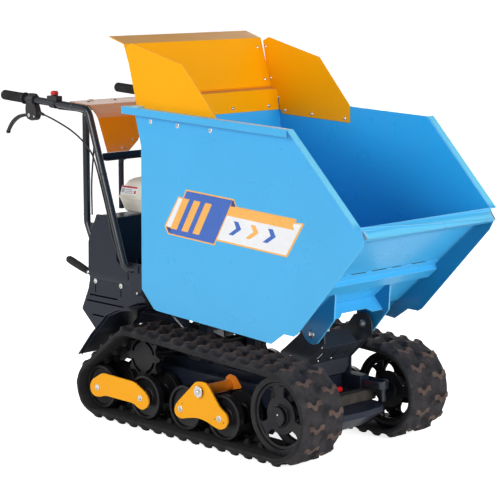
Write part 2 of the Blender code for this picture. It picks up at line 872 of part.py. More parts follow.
def make_handle(coats, side, tag):
    y = side * HANDLE_Y
    corners = [
        (-0.8775, y, 1.0617),
        (-0.418, y, 1.0386),
        (-0.2340, y, 0.5130),
        (-0.1780, side * 0.212, 0.5160),
        (-0.1780, side * 0.1485, 0.5160),
    ]
    finish(tube(rounded(corners, 0.036, 5), TUBE_RADIUS, 12), "handle_" + tag, coats["frame"])
    start = Vector((0.0007 - HALF_LENGTH, y, 1.0620))
    along = Vector((0.461, 0, -0.0232)).normalized()
    profile = [(0, 0), (0.0140, 0), (0.0175, 0.004), (0.0175, 0.118), (0.0205, 0.120), (0.0205, 0.126), (0.0129, 0.126), (0.0129, 0.0045), (0, 0.0045)]
    finish(lathe(start, along, profile, 16), "grip_" + tag, coats["grip_rubber"])


def make_brake_lever(coats, side, tag):
    """Perch clamped on the handle, and the lever that hangs from its fork."""
    y = side * HANDLE_Y
    ring = lathe((-0.722, y, 1.0539), (1, 0, -0.0503), [(0, 0), (0.0185, 0), (0.0185, 0.060), (0, 0.060)], 16)
    cheeks = []
    for offset in (-0.0085, 0.0085):
        outline = [(-0.700, 1.045), (-0.668, 1.045), (-0.660, 0.992), (-0.742, 0.986), (-0.748, 1.005)]
        cheeks.append(plate_y(outline, y + offset - 0.0022, y + offset + 0.0022))
    back = box((-0.690, y - 0.009, 0.994), (-0.666, y + 0.009, 1.046))
    pin = rod_y(-0.735, 0.998, 0.0030, y - 0.0098, y + 0.0098, 1, 10)
    clamp = combine(ring, cheeks + [back, pin])
    bore = lathe((-0.760, y, 1.0558), (1, 0, -0.0503), [(0, 0), (0.0129, 0), (0.0129, 0.130), (0, 0.130)], 16)
    finish(cut(clamp, [bore]), "lever_clamp_" + tag, coats["black_plastic"])
    outline = [
        (-0.727, 0.9925),
        (-0.7270, 1.0035),
        (-0.7450, 1.0045),
        (-0.7990, 0.9960),
        (-0.8410, 0.9710),
        (-0.8650, 0.9400),
        (-0.8680, 0.9300),
        (-0.8580, 0.9300),
        (-0.8320, 0.9620),
        (-0.7950, 0.9840),
    ]
    lever = plate_y(outline, y - 0.0055, y + 0.0055)
    hole = rod_y(-0.735, 0.998, 0.0034, y - 0.02, y + 0.02, 1, 10)
    finish(cut(lever, [hole]), "brake_lever_" + tag, coats["black_plastic"], "brake_" + tag)


def make_brake_cable(coats, side, tag):
    """Sheathed cable from the perch down the back of the handle to the deck."""
    y = side * HANDLE_Y
    corners = [
        (-0.6565, y, 1.0050),
        (-0.5300, y, 0.9700),
        (-0.3935, y, 0.9090),
        (-0.2870, y, 0.6040),
        (-0.2640, side * 0.2610, 0.5320),
        (-0.2330, side * 0.1480, 0.5000),
        (-0.2330, side * 0.1420, 0.3585),
    ]
    finish(tube(rounded(corners, 0.025, 4), 0.003, 6), "brake_cable_" + tag, coats["black_plastic"])


def make_kill_switch(coats):
    y = -HANDLE_Y
    base = box((-0.622, y - 0.014, 1.047), (-0.558, y + 0.014, 1.0735))
    bore = lathe((-0.660, y, 1.0508), (1, 0, -0.0503), [(0, 0), (0.0129, 0), (0.0129, 0.140), (0, 0.140)], 16)
    well = lathe((-0.597, y, 1.0645), (0, 0, 1), [(0, 0), (0.0078, 0), (0.0078, 0.02), (0, 0.02)], 12)
    finish(cut(base, [bore, well]), "kill_switch_base", coats["black_plastic"])
    profile = [(0, 0), (0.0070, 0), (0.0070, 0.0095), (0.0155, 0.0095), (0.0155, 0.017), (0.010, 0.0225), (0, 0.0225)]
    finish(lathe((-0.597, y, 1.0680), (0, 0, 1), profile, 16), "kill_button", coats["signal_red"], "kill")


def make_console(coats):
    """Bent orange hood between the handles, its frame and the round posts behind."""
    line = [(-0.545, 1.053), (-0.446, 1.047), (-0.411, 1.020), (-0.400, 1.007), (-0.3525, 0.894)]
    hood = plate_y(folded(line, 0.002), -0.235, 0.235)
    notch = [(-0.143, 0.860), (0.143, 0.860), (0.143, 0.892), (0.088, 0.925), (0.070, 0.945), (-0.070, 0.945), (-0.088, 0.925), (-0.143, 0.892)]
    cutter = loft([[(x, y, z) for y, z in notch] for x in (-0.420, -0.330)])
    finish(cut(hood, [cutter]), "console_hood", coats["hood_orange"])
    frame = box((-0.3780, -0.235, 0.8660), (-0.3540, 0.235, 0.8700))
    frame = combine(frame, [box((-0.3780, -0.2345, 0.8670), (-0.3740, 0.2345, 0.8900))])
    struts = []
    for side, _ in SIDES:
        y = side * 0.100
        struts.append(tube(rounded([(-0.376, y, 0.878), (-0.440, y, 0.858), (-0.440, y, 0.6840)], 0.020, 4), 0.0095, 12))
    finish(combine(frame, struts), "console_frame", coats["frame"])
    corners = [
        (-0.4650, -0.200, 0.5560),
        (-0.5060, -0.200, 0.6400),
        (-0.5060, -0.200, 1.0370),
        (-0.5060, 0.200, 1.0370),
        (-0.5060, 0.200, 0.6400),
        (-0.4650, 0.200, 0.5560),
    ]
    finish(tube(rounded(corners, 0.035, 5), 0.012, 10), "console_hoop", coats["frame"])


def make_levers(coats):
    rod = tube([(-0.4580, -0.215, 0.4615), (-0.4850, -0.215, 0.4700)], 0.005, 10)
    grip = tube([(-0.4830, -0.215, 0.4694), (-0.4900, -0.215, 0.4714), (-0.5980, -0.215, 0.5030)], 0.0135, 14)
    finish(combine(rod, [grip]), "gear_lever", coats["grip_rubber"], "gear")
    at = (-0.470, 0.120, 1.0560)
    profile = [(0, 0), (0.006, 0), (0.006, 0.050), (0.014, 0.054), (0.017, 0.066), (0.012, 0.078), (0, 0.080)]
    finish(lathe(at, (0, 0, 1), profile, 14), "tipping_lever", coats["black_plastic"], "tip_lever")


# ---------- the tipping cylinder ----------


def make_cylinder(coats):
    base = Vector((BARREL_PIVOT[0], 0, BARREL_PIVOT[1]))
    tip = Vector((ROD_PIN[0], 0, ROD_PIN[1]))
    along = (tip - base).normalized()
    reach = (tip - base).length
    barrel = lathe(base, along, [(0, 0.015), (0.026, 0.015), (0.026, 0.205), (0, 0.205)], 20)
    barrel = combine(barrel, [rod_y(*BARREL_PIVOT, 0.022, -0.028, 0.028, 1, 16)])
    barrel = cut(barrel, [rod_y(*BARREL_PIVOT, 0.0105, -0.05, 0.05, 1, 16)])
    barrel = cut(barrel, [lathe(base, along, [(0, 0.075), (0.0135, 0.075), (0.0135, 0.230), (0, 0.230)], 16)])
    finish(barrel, "cylinder_barrel", coats["frame"], "barrel")
    rod = lathe(base, along, [(0, 0.085), (0.0125, 0.085), (0.0125, reach - 0.024), (0, reach - 0.024)], 16)
    rod = combine(rod, [rod_y(*ROD_PIN, 0.028, -0.009, 0.009, 1, 20)])
    rod = cut(rod, [rod_y(*ROD_PIN, 0.021, -0.05, 0.05, 1, 20)])
    finish(rod, "cylinder_rod", coats["chrome"], "rod")


def make_coats():
    return {
        "tub_blue": material("tub_blue", (0.10, 0.42, 0.78)),
        "wing_yellow": material("wing_yellow", (0.95, 0.42, 0.02)),
        "hood_orange": material("hood_orange", (0.70, 0.20, 0.01)),
        "link_yellow": material("link_yellow", (0.90, 0.40, 0.03)),
        "frame": material("frame", (0.030, 0.034, 0.042)),
        "track_rubber": material("track_rubber", (0.030, 0.027, 0.025), 0.0, 0.85),
        "wheel_iron": material("wheel_iron", (0.035, 0.035, 0.037), 0.0, 0.6),
        "zinc": material("zinc", (0.62, 0.62, 0.60), 1.0, 0.35),
        "aluminium": material("aluminium", (0.55, 0.56, 0.57), 1.0, 0.45),
        "steel": material("steel", (0.45, 0.44, 0.43), 1.0, 0.4),
        "chrome": material("chrome", (0.75, 0.75, 0.76), 1.0, 0.12),
        "cream": material("cream", (0.78, 0.74, 0.64), 0.0, 0.4),
        "black_plastic": material("black_plastic", (0.020, 0.020, 0.022), 0.0, 0.5),
        "grip_rubber": material("grip_rubber", (0.018, 0.018, 0.019), 0.0, 0.8),
        "signal_red": material("signal_red", (0.60, 0.02, 0.02), 0.0, 0.35),
    }


def add_side_pivots():
    for side, tag in SIDES:
        y = side * TRACK_MIDDLE
        PIVOTS["sprocket_" + tag] = (SPROCKET[0], y, SPROCKET[1])
        PIVOTS["idler_" + tag] = (IDLER[0], y, IDLER[1])
        PIVOTS["bogie_" + tag] = (BOGIE_PIVOT[0], y, BOGIE_PIVOT[1])
        PIVOTS["brake_" + tag] = (-0.735, side * HANDLE_Y, 0.998)
        for index, x in enumerate(ROLLER_X):
            PIVOTS[f"roller_{tag}{index + 1}"] = (x, y, ROLLER_Z)
    PIVOTS["kill"] = (-0.597, -HANDLE_Y, 1.068)


clear_scene()
add_side_pivots()
joints = make_joints()
paint = make_coats()
make_tub(paint)
make_tub_rib(paint)
make_tub_hinge(paint)
make_cylinder_ears(paint)
make_extension(paint)
make_front_bracket(paint)
make_hinge_pin(paint)
make_chassis(paint)
for which, label in SIDES:
    make_belt(paint, which, label)
    for number in range(len(ROLLER_X)):
        make_roller(paint, which, label, number)
    make_sprocket(paint, which, label)
    make_idler(paint, which, label, 96 if which < 0 else 123)
    make_rear_link(paint, which, label)
    make_bogie(paint, which, label)
    make_handle(paint, which, label)
    make_brake_lever(paint, which, label)
    make_brake_cable(paint, which, label)
make_engine(paint)
make_gearbox(paint)
make_tanks(paint)
make_covers(paint)
make_kill_switch(paint)
make_console(paint)
make_levers(paint)
make_cylinder(paint)
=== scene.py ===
"""The looks of the power wheelbarrow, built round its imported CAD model.

+X is the way the tub tips, +Y the machine's left, +Z up. Metres throughout.
"""

import bisect
import math

import bmesh
import bpy
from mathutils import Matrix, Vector


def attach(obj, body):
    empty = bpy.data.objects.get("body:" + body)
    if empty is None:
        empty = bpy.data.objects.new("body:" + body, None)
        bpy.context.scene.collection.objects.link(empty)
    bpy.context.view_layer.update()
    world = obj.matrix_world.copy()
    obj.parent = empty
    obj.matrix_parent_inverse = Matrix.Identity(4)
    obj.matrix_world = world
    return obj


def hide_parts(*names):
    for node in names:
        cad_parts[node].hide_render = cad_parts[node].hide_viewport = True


SIDES = ((-1, "R"), (1, "L"))
UP = (0, 0, 1)
ACROSS = (0, 1, 0)

# the tracks: wheels as (x, z, radius), distances from the machine's middle line
TRACK_MIDDLE = 0.249
BELT_HALF = 0.09
CARCASS = 0.01
LUG_HEIGHT = 0.021
LUG_PITCH = 0.06
BEND_STEP = 0.004  # longest step of the belt's line round a wheel
ROLLER_Z = 0.1055
ROLLER_RADIUS = 0.0737
REAR_BEND = 0.0745  # radius of the belt's inner face round the last road wheel
ROLLER_X = (-0.318, -0.097, 0.1, 0.281)
SPROCKET = (-0.15, 0.228, 0.0832)
IDLER = (0.527, 0.156, 0.125)
FIRST_SPOKE = {-1: 96, 1: 123}  # degrees, as seen on each front wheel in the photo
BOGIE_PIVOT = (0.193, 0.179)
LINK_FACES = (0.3155, 0.3215)

# the engine panel's two faces, and a cut right through it
PANEL_FACES = (0.239, 0.2415)
THROUGH_PANEL = (0.23, 0.25)

# the tub: points as (x, z), its half width by height, and where its painted shade and painted highlights
# start
TUB_PIVOT = (0.5, 0.384)
TUB_HALF = 0.29
TUB_FLOOR = 0.39
SIDE_LEAN = 0.0317
TUB_CENTRE = (0.3, 0.0, 0.8)
RAMP_START = (0.491, 0.436)
RAMP_END = (0.856, 0.77)
RAMP_SLOPE = 0.915
RAMP_LEVEL = (-0.013, -0.009)  # z - slope * x just over the ramp's underside, where the painted shade inside the tub meets the darker painted shade on the skirts
RIM_LEVEL = (0.776, 0.79)
LIP_REACH = (0.864, 0.868)
# how much darker the painted shade on the skirts and ears under the ramp is than the painted shade inside
# the tub
SKIRT_PAINTED_SHADE = 0.46

# the handles: their two straight runs and where the grips start
HANDLE_Y = 0.262
HANDLE_LEVEL = Vector((0.461, 0, -0.0232)).normalized()
HANDLE_FALL = Vector((0.184, 0, -0.5256)).normalized()
GRIP_START = (-0.8833, 1.062)


# ---------- materials ----------


class Coat:
    """A procedural material: a Principled shader with nodes added a step at a time."""

    def __init__(self, name, colour, metallic, roughness):
        self.made = bpy.data.materials.new(name)
        self.made.use_nodes = True
        self.made.diffuse_color = (*colour, 1)
        self.tree = self.made.node_tree
        self.shader = self.tree.nodes["Principled BSDF"]
        self.put("Metallic", metallic)
        self.put("Roughness", roughness)
        self.put("Base Color", (*colour, 1))
        place = self.node("ShaderNodeTexCoord")
        self.place = place.outputs["Object"]
        self.facing = place.outputs["Normal"]
        self.colour = None
        self.bump = None

    def put(self, name, value):
        self.shader.inputs[name].default_value = value

    def node(self, kind, **settings):
        made = self.tree.nodes.new(kind)
        for key, value in settings.items():
            setattr(made, key, value)
        return made

    def link(self, a, b):
        self.tree.links.new(a, b)

    def stretched(self, scale):
        """Object coordinates scaled unevenly, for grain that runs one way."""
        made = self.node("ShaderNodeMapping")
        made.inputs["Scale"].default_value = scale
        self.link(self.place, made.inputs["Vector"])
        return made.outputs["Vector"]

    def noise(self, scale, detail=4.0, rough=0.55, place=None):
        made = self.node("ShaderNodeTexNoise")
        for name, number in (("Scale", scale), ("Detail", detail), ("Roughness", rough)):
            made.inputs[name].default_value = number
        self.link(place or self.place, made.inputs["Vector"])
        return made.outputs["Fac"]

    def ranged(self, value, low, high, to_low, to_high):
        made = self.node("ShaderNodeMapRange")
        for name, number in (
            ("From Min", low), ("From Max", high), ("To Min", to_low), ("To Max", to_high),
        ):
            made.inputs[name].default_value = number
        self.link(value, made.inputs["Value"])
        return made.outputs["Result"]

    def math(self, operation, *values):
        made = self.node("ShaderNodeMath", operation=operation)
        for value, socket in zip(values, made.inputs):
            self.link(value, socket)
        return made.outputs[0]

    def product(self, a, b):
        return self.math("MULTIPLY", a, b)

    def part(self, vector, axis):
        """One axis of a vector."""
        made = self.node("ShaderNodeSeparateXYZ")
        self.link(vector, made.inputs[0])
        return made.outputs[axis]

    def vector(self, operation, a, b):
        """A vector sum or dot product. The second vector may be fixed numbers."""
        made = self.node("ShaderNodeVectorMath", operation=operation)
        self.link(a, made.inputs[0])
        if isinstance(b, tuple):
            made.inputs[1].default_value = b
        else:
            self.link(b, made.inputs[1])
        return made.outputs["Value" if operation == "DOT_PRODUCT" else "Vector"]

    def tint(self, share, colour):
        """Mix a colour over what is there, by a 0 to 1 value."""
        made = self.node("ShaderNodeMix", data_type="RGBA")
        self.link(share, made.inputs["Factor"])
        if self.colour is None:
            made.inputs["A"].default_value = self.shader.inputs["Base Color"].default_value
        else:
            self.link(self.colour, made.inputs["A"])
        made.inputs["B"].default_value = (*colour, 1)
        self.colour = made.outputs["Result"]
        self.link(self.colour, self.shader.inputs["Base Color"])

    def mottle(self, noise, low, high, amount, colour):
        """Blotches of a colour where a noise lies between two levels."""
        self.tint(self.ranged(noise, low, high, 0, amount), colour)

    def rough(self, value, low, high):
        self.link(self.ranged(value, 0.3, 0.7, low, high), self.shader.inputs["Roughness"])

    def height(self, value, strength, distance):
        made = self.node("ShaderNodeBump")
        made.inputs["Strength"].default_value = strength
        made.inputs["Distance"].default_value = distance
        self.link(value, made.inputs["Height"])
        if self.bump is not None:
            self.link(self.bump, made.inputs["Normal"])
        self.bump = made.outputs["Normal"]
        self.link(self.bump, self.shader.inputs["Normal"])

    def soft_edges(self, radius):
        """Sheet edges catch the light as if slightly rounded."""
        made = self.node("ShaderNodeBevel", samples=4)
        made.inputs["Radius"].default_value = radius
        self.bump = made.outputs["Normal"]
        self.link(self.bump, self.shader.inputs["Normal"])

    def low_dust(self, top, colour, amount):
        """Dry dust that thins out going up to this height."""
        level = self.ranged(self.part(self.place, "Z"), 0.0, top, amount, 0.0)
        self.tint(self.product(level, self.ranged(self.noise(14, 6), 0.35, 0.65, 0, 1)), colour)


def shade(colour, factor):
    return tuple(min(1.0, part * factor) for part in colour)


def upright_sheet(coat):
    """One on upright fore-and-aft faces that look in toward the middle or stand near it, else zero; it
    picks where the painted shade under the ramp goes.
    """
    across = coat.part(coat.facing, "Y")
    outward = coat.product(across, coat.part(coat.place, "Y"))
    upright = coat.ranged(coat.math("ABSOLUTE", across), 0.4, 0.6, 0, 1)
    return coat.product(upright, coat.ranged(outward, 0.18, 0.22, 1, 0))


def painted_tub_shade(coat, colour):
    """Painted shade: a deeper colour inside the tub, and a darker one on the skirts and ears under its
    ramp, where shade falls.
    """
    facing = coat.vector("DOT_PRODUCT", coat.vector("SUBTRACT", coat.place, TUB_CENTRE), coat.facing)
    above = coat.vector("DOT_PRODUCT", coat.place, (-RAMP_SLOPE, 0, 1))
    inside = coat.ranged(facing, -0.14, -0.02, 0.95, 0.0)
    coat.tint(coat.product(inside, coat.ranged(above, *RAMP_LEVEL, 0, 1)), colour)
    skirts = coat.product(coat.ranged(above, *RAMP_LEVEL, 1, 0), upright_sheet(coat))
    coat.tint(skirts, shade(colour, SKIRT_PAINTED_SHADE))


def painted_top_highlight(coat, colour, rims_only):
    """Painted highlight: a paler colour on faces that look up, or only on the tub's rims and front lip,
    standing for the light and reflections on them.
    """
    mask = coat.ranged(coat.part(coat.facing, "Z"), 0.45, 0.75, 0.0, 0.75)
    if rims_only:
        rim = coat.ranged(coat.part(coat.place, "Z"), *RIM_LEVEL, 0, 1)
        lip = coat.ranged(coat.part(coat.place, "X"), *LIP_REACH, 0, 1)
        mask = coat.product(mask, coat.math("MAXIMUM", rim, lip))
    coat.tint(mask, colour)


def paint(
    name, colour, roughness=0.32, edge=0.0014, dust=0.0, shine=0.4, glint=0.05, painted_shade=None, top_highlight=None,
):
    """Powder coat with faint unevenness, orange peel, soft edges with painted highlights along them, and
    painted shade and painted highlights by direction.
    """
    coat = Coat(name, colour, 0.0, roughness)
    coat.soft_edges(edge)
    face = coat.node("ShaderNodeNewGeometry").outputs["Normal"]
    turned = coat.vector("DOT_PRODUCT", coat.bump, face)
    coat.mottle(coat.noise(2.5, 3), 0.35, 0.65, 0.5, shade(colour, 0.92))
    coat.mottle(coat.noise(7, 5), 0.5, 0.8, 0.25, shade(colour, 1.06))
    # painted shade inside the tub and on the skirts and ears under its ramp
    if painted_shade:
        painted_tub_shade(coat, painted_shade)
    # painted highlight and reflection on faces that look up
    if top_highlight:
        painted_top_highlight(coat, top_highlight, painted_shade is not None)
    # painted highlight along sheet edges: a lighter colour, whitened by glint, where the bevelled normal
    # turns away from the face's
    painted_edge_highlight = tuple(part + (1.0 - part) * glint for part in shade(colour, 1.25))
    coat.tint(coat.ranged(turned, 0.8, 0.99, 0.75, 0.0), painted_edge_highlight)
    if dust:
        coat.low_dust(0.5, (0.3, 0.25, 0.2), dust)
    coat.rough(coat.noise(9, 4), roughness * 0.85, roughness * 1.2)
    coat.height(coat.noise(420, 2), 0.02, 0.0006)
    coat.put("Specular IOR Level", shine)
    coat.put("Coat Weight", shine * 0.5)
    coat.put("Coat Roughness", 0.1)
    return coat.made


def rubber(name, colour, worn, amount, roughness=0.78, grain=260):
    """Moulded rubber: mottled, grained, with dust or wear mixed in."""
    coat = Coat(name, colour, 0.0, roughness)
    coat.mottle(coat.noise(22, 6, 0.65), 0.38, 0.68, amount, worn)
    coat.mottle(coat.noise(90, 5, 0.7), 0.5, 0.75, 0.5, shade(colour, 0.55))
    coat.rough(coat.noise(30, 5), roughness - 0.1, min(1.0, roughness + 0.15))
    coat.height(coat.noise(60, 6, 0.7), 0.35, 0.0015)
    coat.height(coat.noise(grain, 3), 0.25, 0.0005)
    coat.put("Specular IOR Level", 0.35)
    return coat.made


def metal(name, colour, roughness=0.3, streak=(40, 40, 40), stain=(0.3, 0.27, 0.22)):
    """Bare or plated metal with fine streaks and slight staining."""
    coat = Coat(name, colour, 1.0, roughness)
    streaks = coat.noise(12, 6, 0.7, coat.stretched(streak))
    coat.mottle(streaks, 0.4, 0.7, 0.35, shade(colour, 0.6))
    coat.mottle(coat.noise(35, 4), 0.6, 0.75, 0.35, stain)
    coat.rough(streaks, roughness * 0.7, roughness * 1.5)
    coat.height(coat.noise(500, 3), 0.08, 0.0003)
    return coat.made


def cast(name, colour, roughness, dust):
    """Painted casting: pebbly skin with dust low down."""
    coat = Coat(name, colour, 0.0, roughness)
    coat.soft_edges(0.0015)
    coat.mottle(coat.noise(18, 5), 0.4, 0.7, 0.4, shade(colour, 1.7))
    coat.low_dust(0.34, (0.17, 0.14, 0.115), dust)
    coat.rough(coat.noise(16, 5), roughness * 0.75, min(1.0, roughness * 1.3))
    coat.height(coat.noise(180, 4), 0.22, 0.0007)
    coat.put("Specular IOR Level", 0.3)
    return coat.made


def plastic(name, colour, roughness=0.45, grain=350, strength=0.18):
    coat = Coat(name, colour, 0.0, roughness)
    coat.soft_edges(0.0012)
    coat.mottle(coat.noise(12, 4), 0.4, 0.7, 0.4, shade(colour, 1.5))
    coat.rough(coat.noise(25, 4), roughness * 0.85, roughness * 1.25)
    coat.height(coat.noise(grain, 2), strength, 0.0004)
    return coat.made


def vinyl(name, colour):
    """Printed film with a faint ripple."""
    coat = Coat(name, colour, 0.0, 0.28)
    coat.mottle(coat.noise(6, 3), 0.4, 0.7, 0.35, shade(colour, 0.9))
    coat.rough(coat.noise(20, 3), 0.22, 0.36)
    coat.height(coat.noise(25, 2), 0.05, 0.0008)
    return coat.made


def floor_coat():
    """A white floor that glows by itself, much more towards the camera than towards the machine."""
    coat = Coat("studio_floor", (0.93, 0.93, 0.93), 0.0, 0.75)
    coat.mottle(coat.noise(0.7, 3), 0.4, 0.7, 0.5, (0.9, 0.9, 0.9))
    coat.height(coat.noise(60, 3), 0.03, 0.001)
    coat.put("Emission Color", (1, 1, 1, 1))
    seen = coat.node("ShaderNodeLightPath").outputs["Is Camera Ray"]
    coat.link(coat.ranged(seen, 0, 1, 0.12, 0.8), coat.shader.inputs["Emission Strength"])
    return coat.made


def make_coats():
    return {
        # tub_blue carries painted shade inside the tub and under its ramp, a painted highlight on its rims
        # and front lip, and painted edge highlights
        "blue": paint(
            "tub_blue", (0.056, 0.43, 0.8), 0.3, edge=0.002, glint=0.3, painted_shade=(0.024, 0.45, 0.94),
            top_highlight=(0.22, 0.74, 0.98),
        ),
        # wing_yellow and hood_orange: painted reflections on their faces that look up
        "yellow": paint("wing_yellow", (1.0, 0.415, 0.001), 0.36, shine=0.12, top_highlight=(0.74, 0.4, 0.14)),
        "orange": paint("hood_orange", (1.0, 0.265, 0.0006), 0.24, shine=0.8, top_highlight=(0.86, 0.52, 0.36)),
        "link": paint("link_yellow", (1.0, 0.42, 0.003), 0.34, dust=0.03, shine=0.15),
        "sleeve": paint("sleeve_orange", (0.95, 0.26, 0.002), 0.34, dust=0.1),
        "frame": paint("frame_dark", (0.01, 0.0138, 0.0275), 0.36, shine=0.3),
        "tube": paint("tube_dark", (0.014, 0.018, 0.026), 0.24, shine=0.5),
        "belt": rubber("belt_rubber", (0.0092, 0.0088, 0.0108), (0.026, 0.023, 0.024), 0.6),
        "lug_side": rubber("lug_side_rubber", (0.017, 0.0155, 0.0182), (0.05, 0.043, 0.044), 0.75),
        "lug_top": rubber("lug_top_worn", (0.07, 0.043, 0.036), (0.15, 0.095, 0.075), 0.75),
        "wheel": cast("wheel_iron", (0.0055, 0.0058, 0.008), 0.34, 0.12),
        # lighter than the frame paint: painted light for the bracket's sloping web, which stands lit
        "bracket": paint("bracket_painted_light", (0.026, 0.03, 0.039), 0.4, shine=0.4),
        "dirty": cast("dirty_steel", (0.026, 0.022, 0.02), 0.7, 0.5),
        "zinc": metal("zinc_bolt", (0.88, 0.87, 0.84), 0.24, stain=(0.55, 0.52, 0.46)),
        "alloy": metal("cast_alloy", (0.5, 0.51, 0.52), 0.5),
        "exhaust": metal("exhaust_steel", (0.34, 0.32, 0.3), 0.45),
        "chrome": metal("chrome_rod", (0.8, 0.8, 0.81), 0.1, (5, 5, 200), (0.6, 0.6, 0.6)),
        "cream": paint("tank_cream", (0.78, 0.73, 0.62), 0.3),
        "black": plastic("black_plastic", (0.014, 0.014, 0.016)),
        "grip": rubber("grip_rubber", (0.014, 0.014, 0.015), (0.03, 0.029, 0.028), 0.4, 0.7, 420),
        "red": plastic("signal_red", (0.6, 0.01, 0.012), 0.3, 200, 0.06),
        "white": vinyl("label_white", (0.84, 0.84, 0.86)),
        "navy": vinyl("label_navy", (0.045, 0.135, 0.5)),
        "dark_navy": vinyl("label_fold", (0.03, 0.055, 0.2)),
        "amber": vinyl("label_amber", (0.92, 0.46, 0.1)),
        "label_red": vinyl("label_red", (0.55, 0.012, 0.015)),
        "label_grey": vinyl("label_grey", (0.42, 0.42, 0.44)),
        "white_plastic": plastic("clip_white", (0.75, 0.75, 0.74), 0.4, 200, 0.05),
    }


# ---------- mesh tools ----------


class Shape:
    """Closed solids gathered into one mesh, each face marked with a material number."""

    def __init__(self):
        self.verts = []
        self.faces = []
        self.marks = []

    def add(self, verts, faces, mark=0):
        base = len(self.verts)
        self.verts += [tuple(v) for v in verts]
        for face in faces:
            self.faces.append([base + i for i in face])
            self.marks.append(mark)
        return self

    def loft(self, rings, mark=0, closed=False):
        """A skin through rings of equal length. A closed loft joins its last ring to its first."""
        count = len(rings[0])
        verts = [point for ring in rings for point in ring]
        faces = []
        steps = len(rings)
        if not closed:
            faces = [list(range(count)), list(range(len(verts) - count, len(verts)))]
            steps -= 1
        for step in range(steps):
            low = step * count
            high = (step + 1) % len(rings) * count
            for i in range(count):
                j = (i + 1) % count
                faces.append([low + i, low + j, high + j, high + i])
        return self.add(verts, faces, mark)

    def plate(self, outline, start, end, side=1, mark=0):
        """An (x, z) outline carried along Y from one distance to another."""
        return self.loft([[(x, side * y, z) for x, z in outline] for y in (start, end)], mark)

    def box(self, low, high, mark=0):
        plan = oblong(low[0], high[0], low[1], high[1])
        return self.loft([[(x, y, z) for x, y in plan] for z in (low[2], high[2])], mark)

    def lathe(self, origin, direction, profile, sides=40, mark=0):
        """A cyclic (radius, distance) profile turned about a line."""
        along = Vector(direction).normalized()
        across, up = square_to(along)
        verts = []
        rings = []
        for radius, distance in profile:
            middle = Vector(origin) + along * distance
            ring = []
            for i in range(1 if radius == 0 else sides):
                angle = 2 * math.pi * i / sides
                ring.append(len(verts))
                verts.append(middle + radius * (math.cos(angle) * across + math.sin(angle) * up))
            rings.append(ring)
        faces = []
        for a, b in zip(rings, rings[1:] + rings[:1]):
            if len(a) == 1 and len(b) == 1:
                continue
            for i in range(sides):
                j = (i + 1) % sides
                quad = [a[i % len(a)], a[j % len(a)], b[j % len(b)], b[i % len(b)]]
                faces.append(list(dict.fromkeys(quad)))
        return self.add(verts, faces, mark)

    def tube(self, points, radius, sides=24, mark=0):
        points = [Vector(p) for p in points]
        rings = []
        up = None
        for i, point in enumerate(points):
            along = points[min(i + 1, len(points) - 1)] - points[max(i - 1, 0)]
            along.normalize()
            if up is None:
                up = square_to(along)[1]
            up = (up - along * up.dot(along)).normalized()
            across = along.cross(up)
            ring = []
            for k in range(sides):
                angle = 2 * math.pi * k / sides
                ring.append(point + radius * (math.cos(angle) * up + math.sin(angle) * across))
            rings.append(ring)
        return self.loft(rings, mark)

    def bolt(self, at, direction, radius=0.006, mark=0, washer=True):
        """A hex bolt head with its washer, standing on a surface."""
        base = 0.0
        if washer:
            base = radius * 0.22
            edge = radius * 1.75
            ring = [(0, 0), (edge, 0), (edge, base * 0.7), (edge * 0.94, base), (0, base)]
            self.lathe(at, direction, ring, 24, mark)
        top = base + radius * 0.75
        head = [(0, base), (radius, base), (radius, top * 0.86), (radius * 0.84, top), (0, top)]
        self.lathe(at, direction, head, 6, mark)
        stud = [
            (0, top), (radius * 0.5, top), (radius * 0.5, top + radius * 0.2), (0, top + radius * 0.25),
        ]
        return self.lathe(at, direction, stud, 12, mark)

    def screw(self, at, direction, radius=0.006, mark=0):
        """A low domed screw head with a socket."""
        dome = [(0, radius * 0.12), (radius * 0.38, radius * 0.12), (radius * 0.42, radius * 0.55)]
        dome += [(radius * 0.75, radius * 0.42), (radius * 0.95, radius * 0.2), (radius, 0), (0, 0)]
        return self.lathe(at, direction, dome, 20, mark)

    def piece(self, name, body, names, smooth=35, bevel=0.0, segments=2, replaces=(), sharp=40):
        """Make the object from coats by name, tie it to its body and hide the CAD nodes it stands for."""
        mesh = outward_mesh(name, self)
        for coat in names:
            mesh.materials.append(coats[coat])
        mesh.polygons.foreach_set("material_index", self.marks)
        mesh.shade_smooth()
        mesh.set_sharp_from_angle(angle=math.radians(smooth))
        made = placed(name, mesh)
        if bevel:
            edge = made.modifiers.new("edges", "BEVEL")
            edge.width = bevel
            edge.segments = segments
            edge.limit_method = "ANGLE"
            edge.angle_limit = math.radians(sharp)
            edge.harden_normals = True
        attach(made, body)
        if replaces:
            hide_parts(*replaces)
        return made


def outward_mesh(name, shape):
    """A shape's mesh with every face turned outward."""
    mesh = bpy.data.meshes.new(name)
    mesh.from_pydata(shape.verts, [], shape.faces)
    work = bmesh.new()
    work.from_mesh(mesh)
    bmesh.ops.recalc_face_normals(work, faces=work.faces)
    work.to_mesh(mesh)
    work.free()
    return mesh


def placed(name, data):
    """A new object in the scene."""
    made = bpy.data.objects.new(name, data)
    bpy.context.scene.collection.objects.link(made)
    return made


def oblong(x0, x1, z0, z1):
    return [(x0, z0), (x1, z0), (x1, z1), (x0, z1)]


def rod(radius, end, start=0):
    """The lathe profile of a plain bar."""
    return [(0, start), (radius, start), (radius, end), (0, end)]


def ring(inner, outer, end, start=0):
    """The lathe profile of a plain sleeve."""
    return oblong(inner, outer, start, end)


def mirrored(profile):
    """A lathe profile with its mirror image on the other side of zero."""
    return profile + [(radius, -distance) for radius, distance in profile[::-1]]


def square_to(along):
    """Two directions square to a line and to each other."""
    other = Vector((0, 0, 1)) if abs(along.z) < 0.9 else Vector((1, 0, 0))
    across = along.cross(other).normalized()
    return across, across.cross(along)


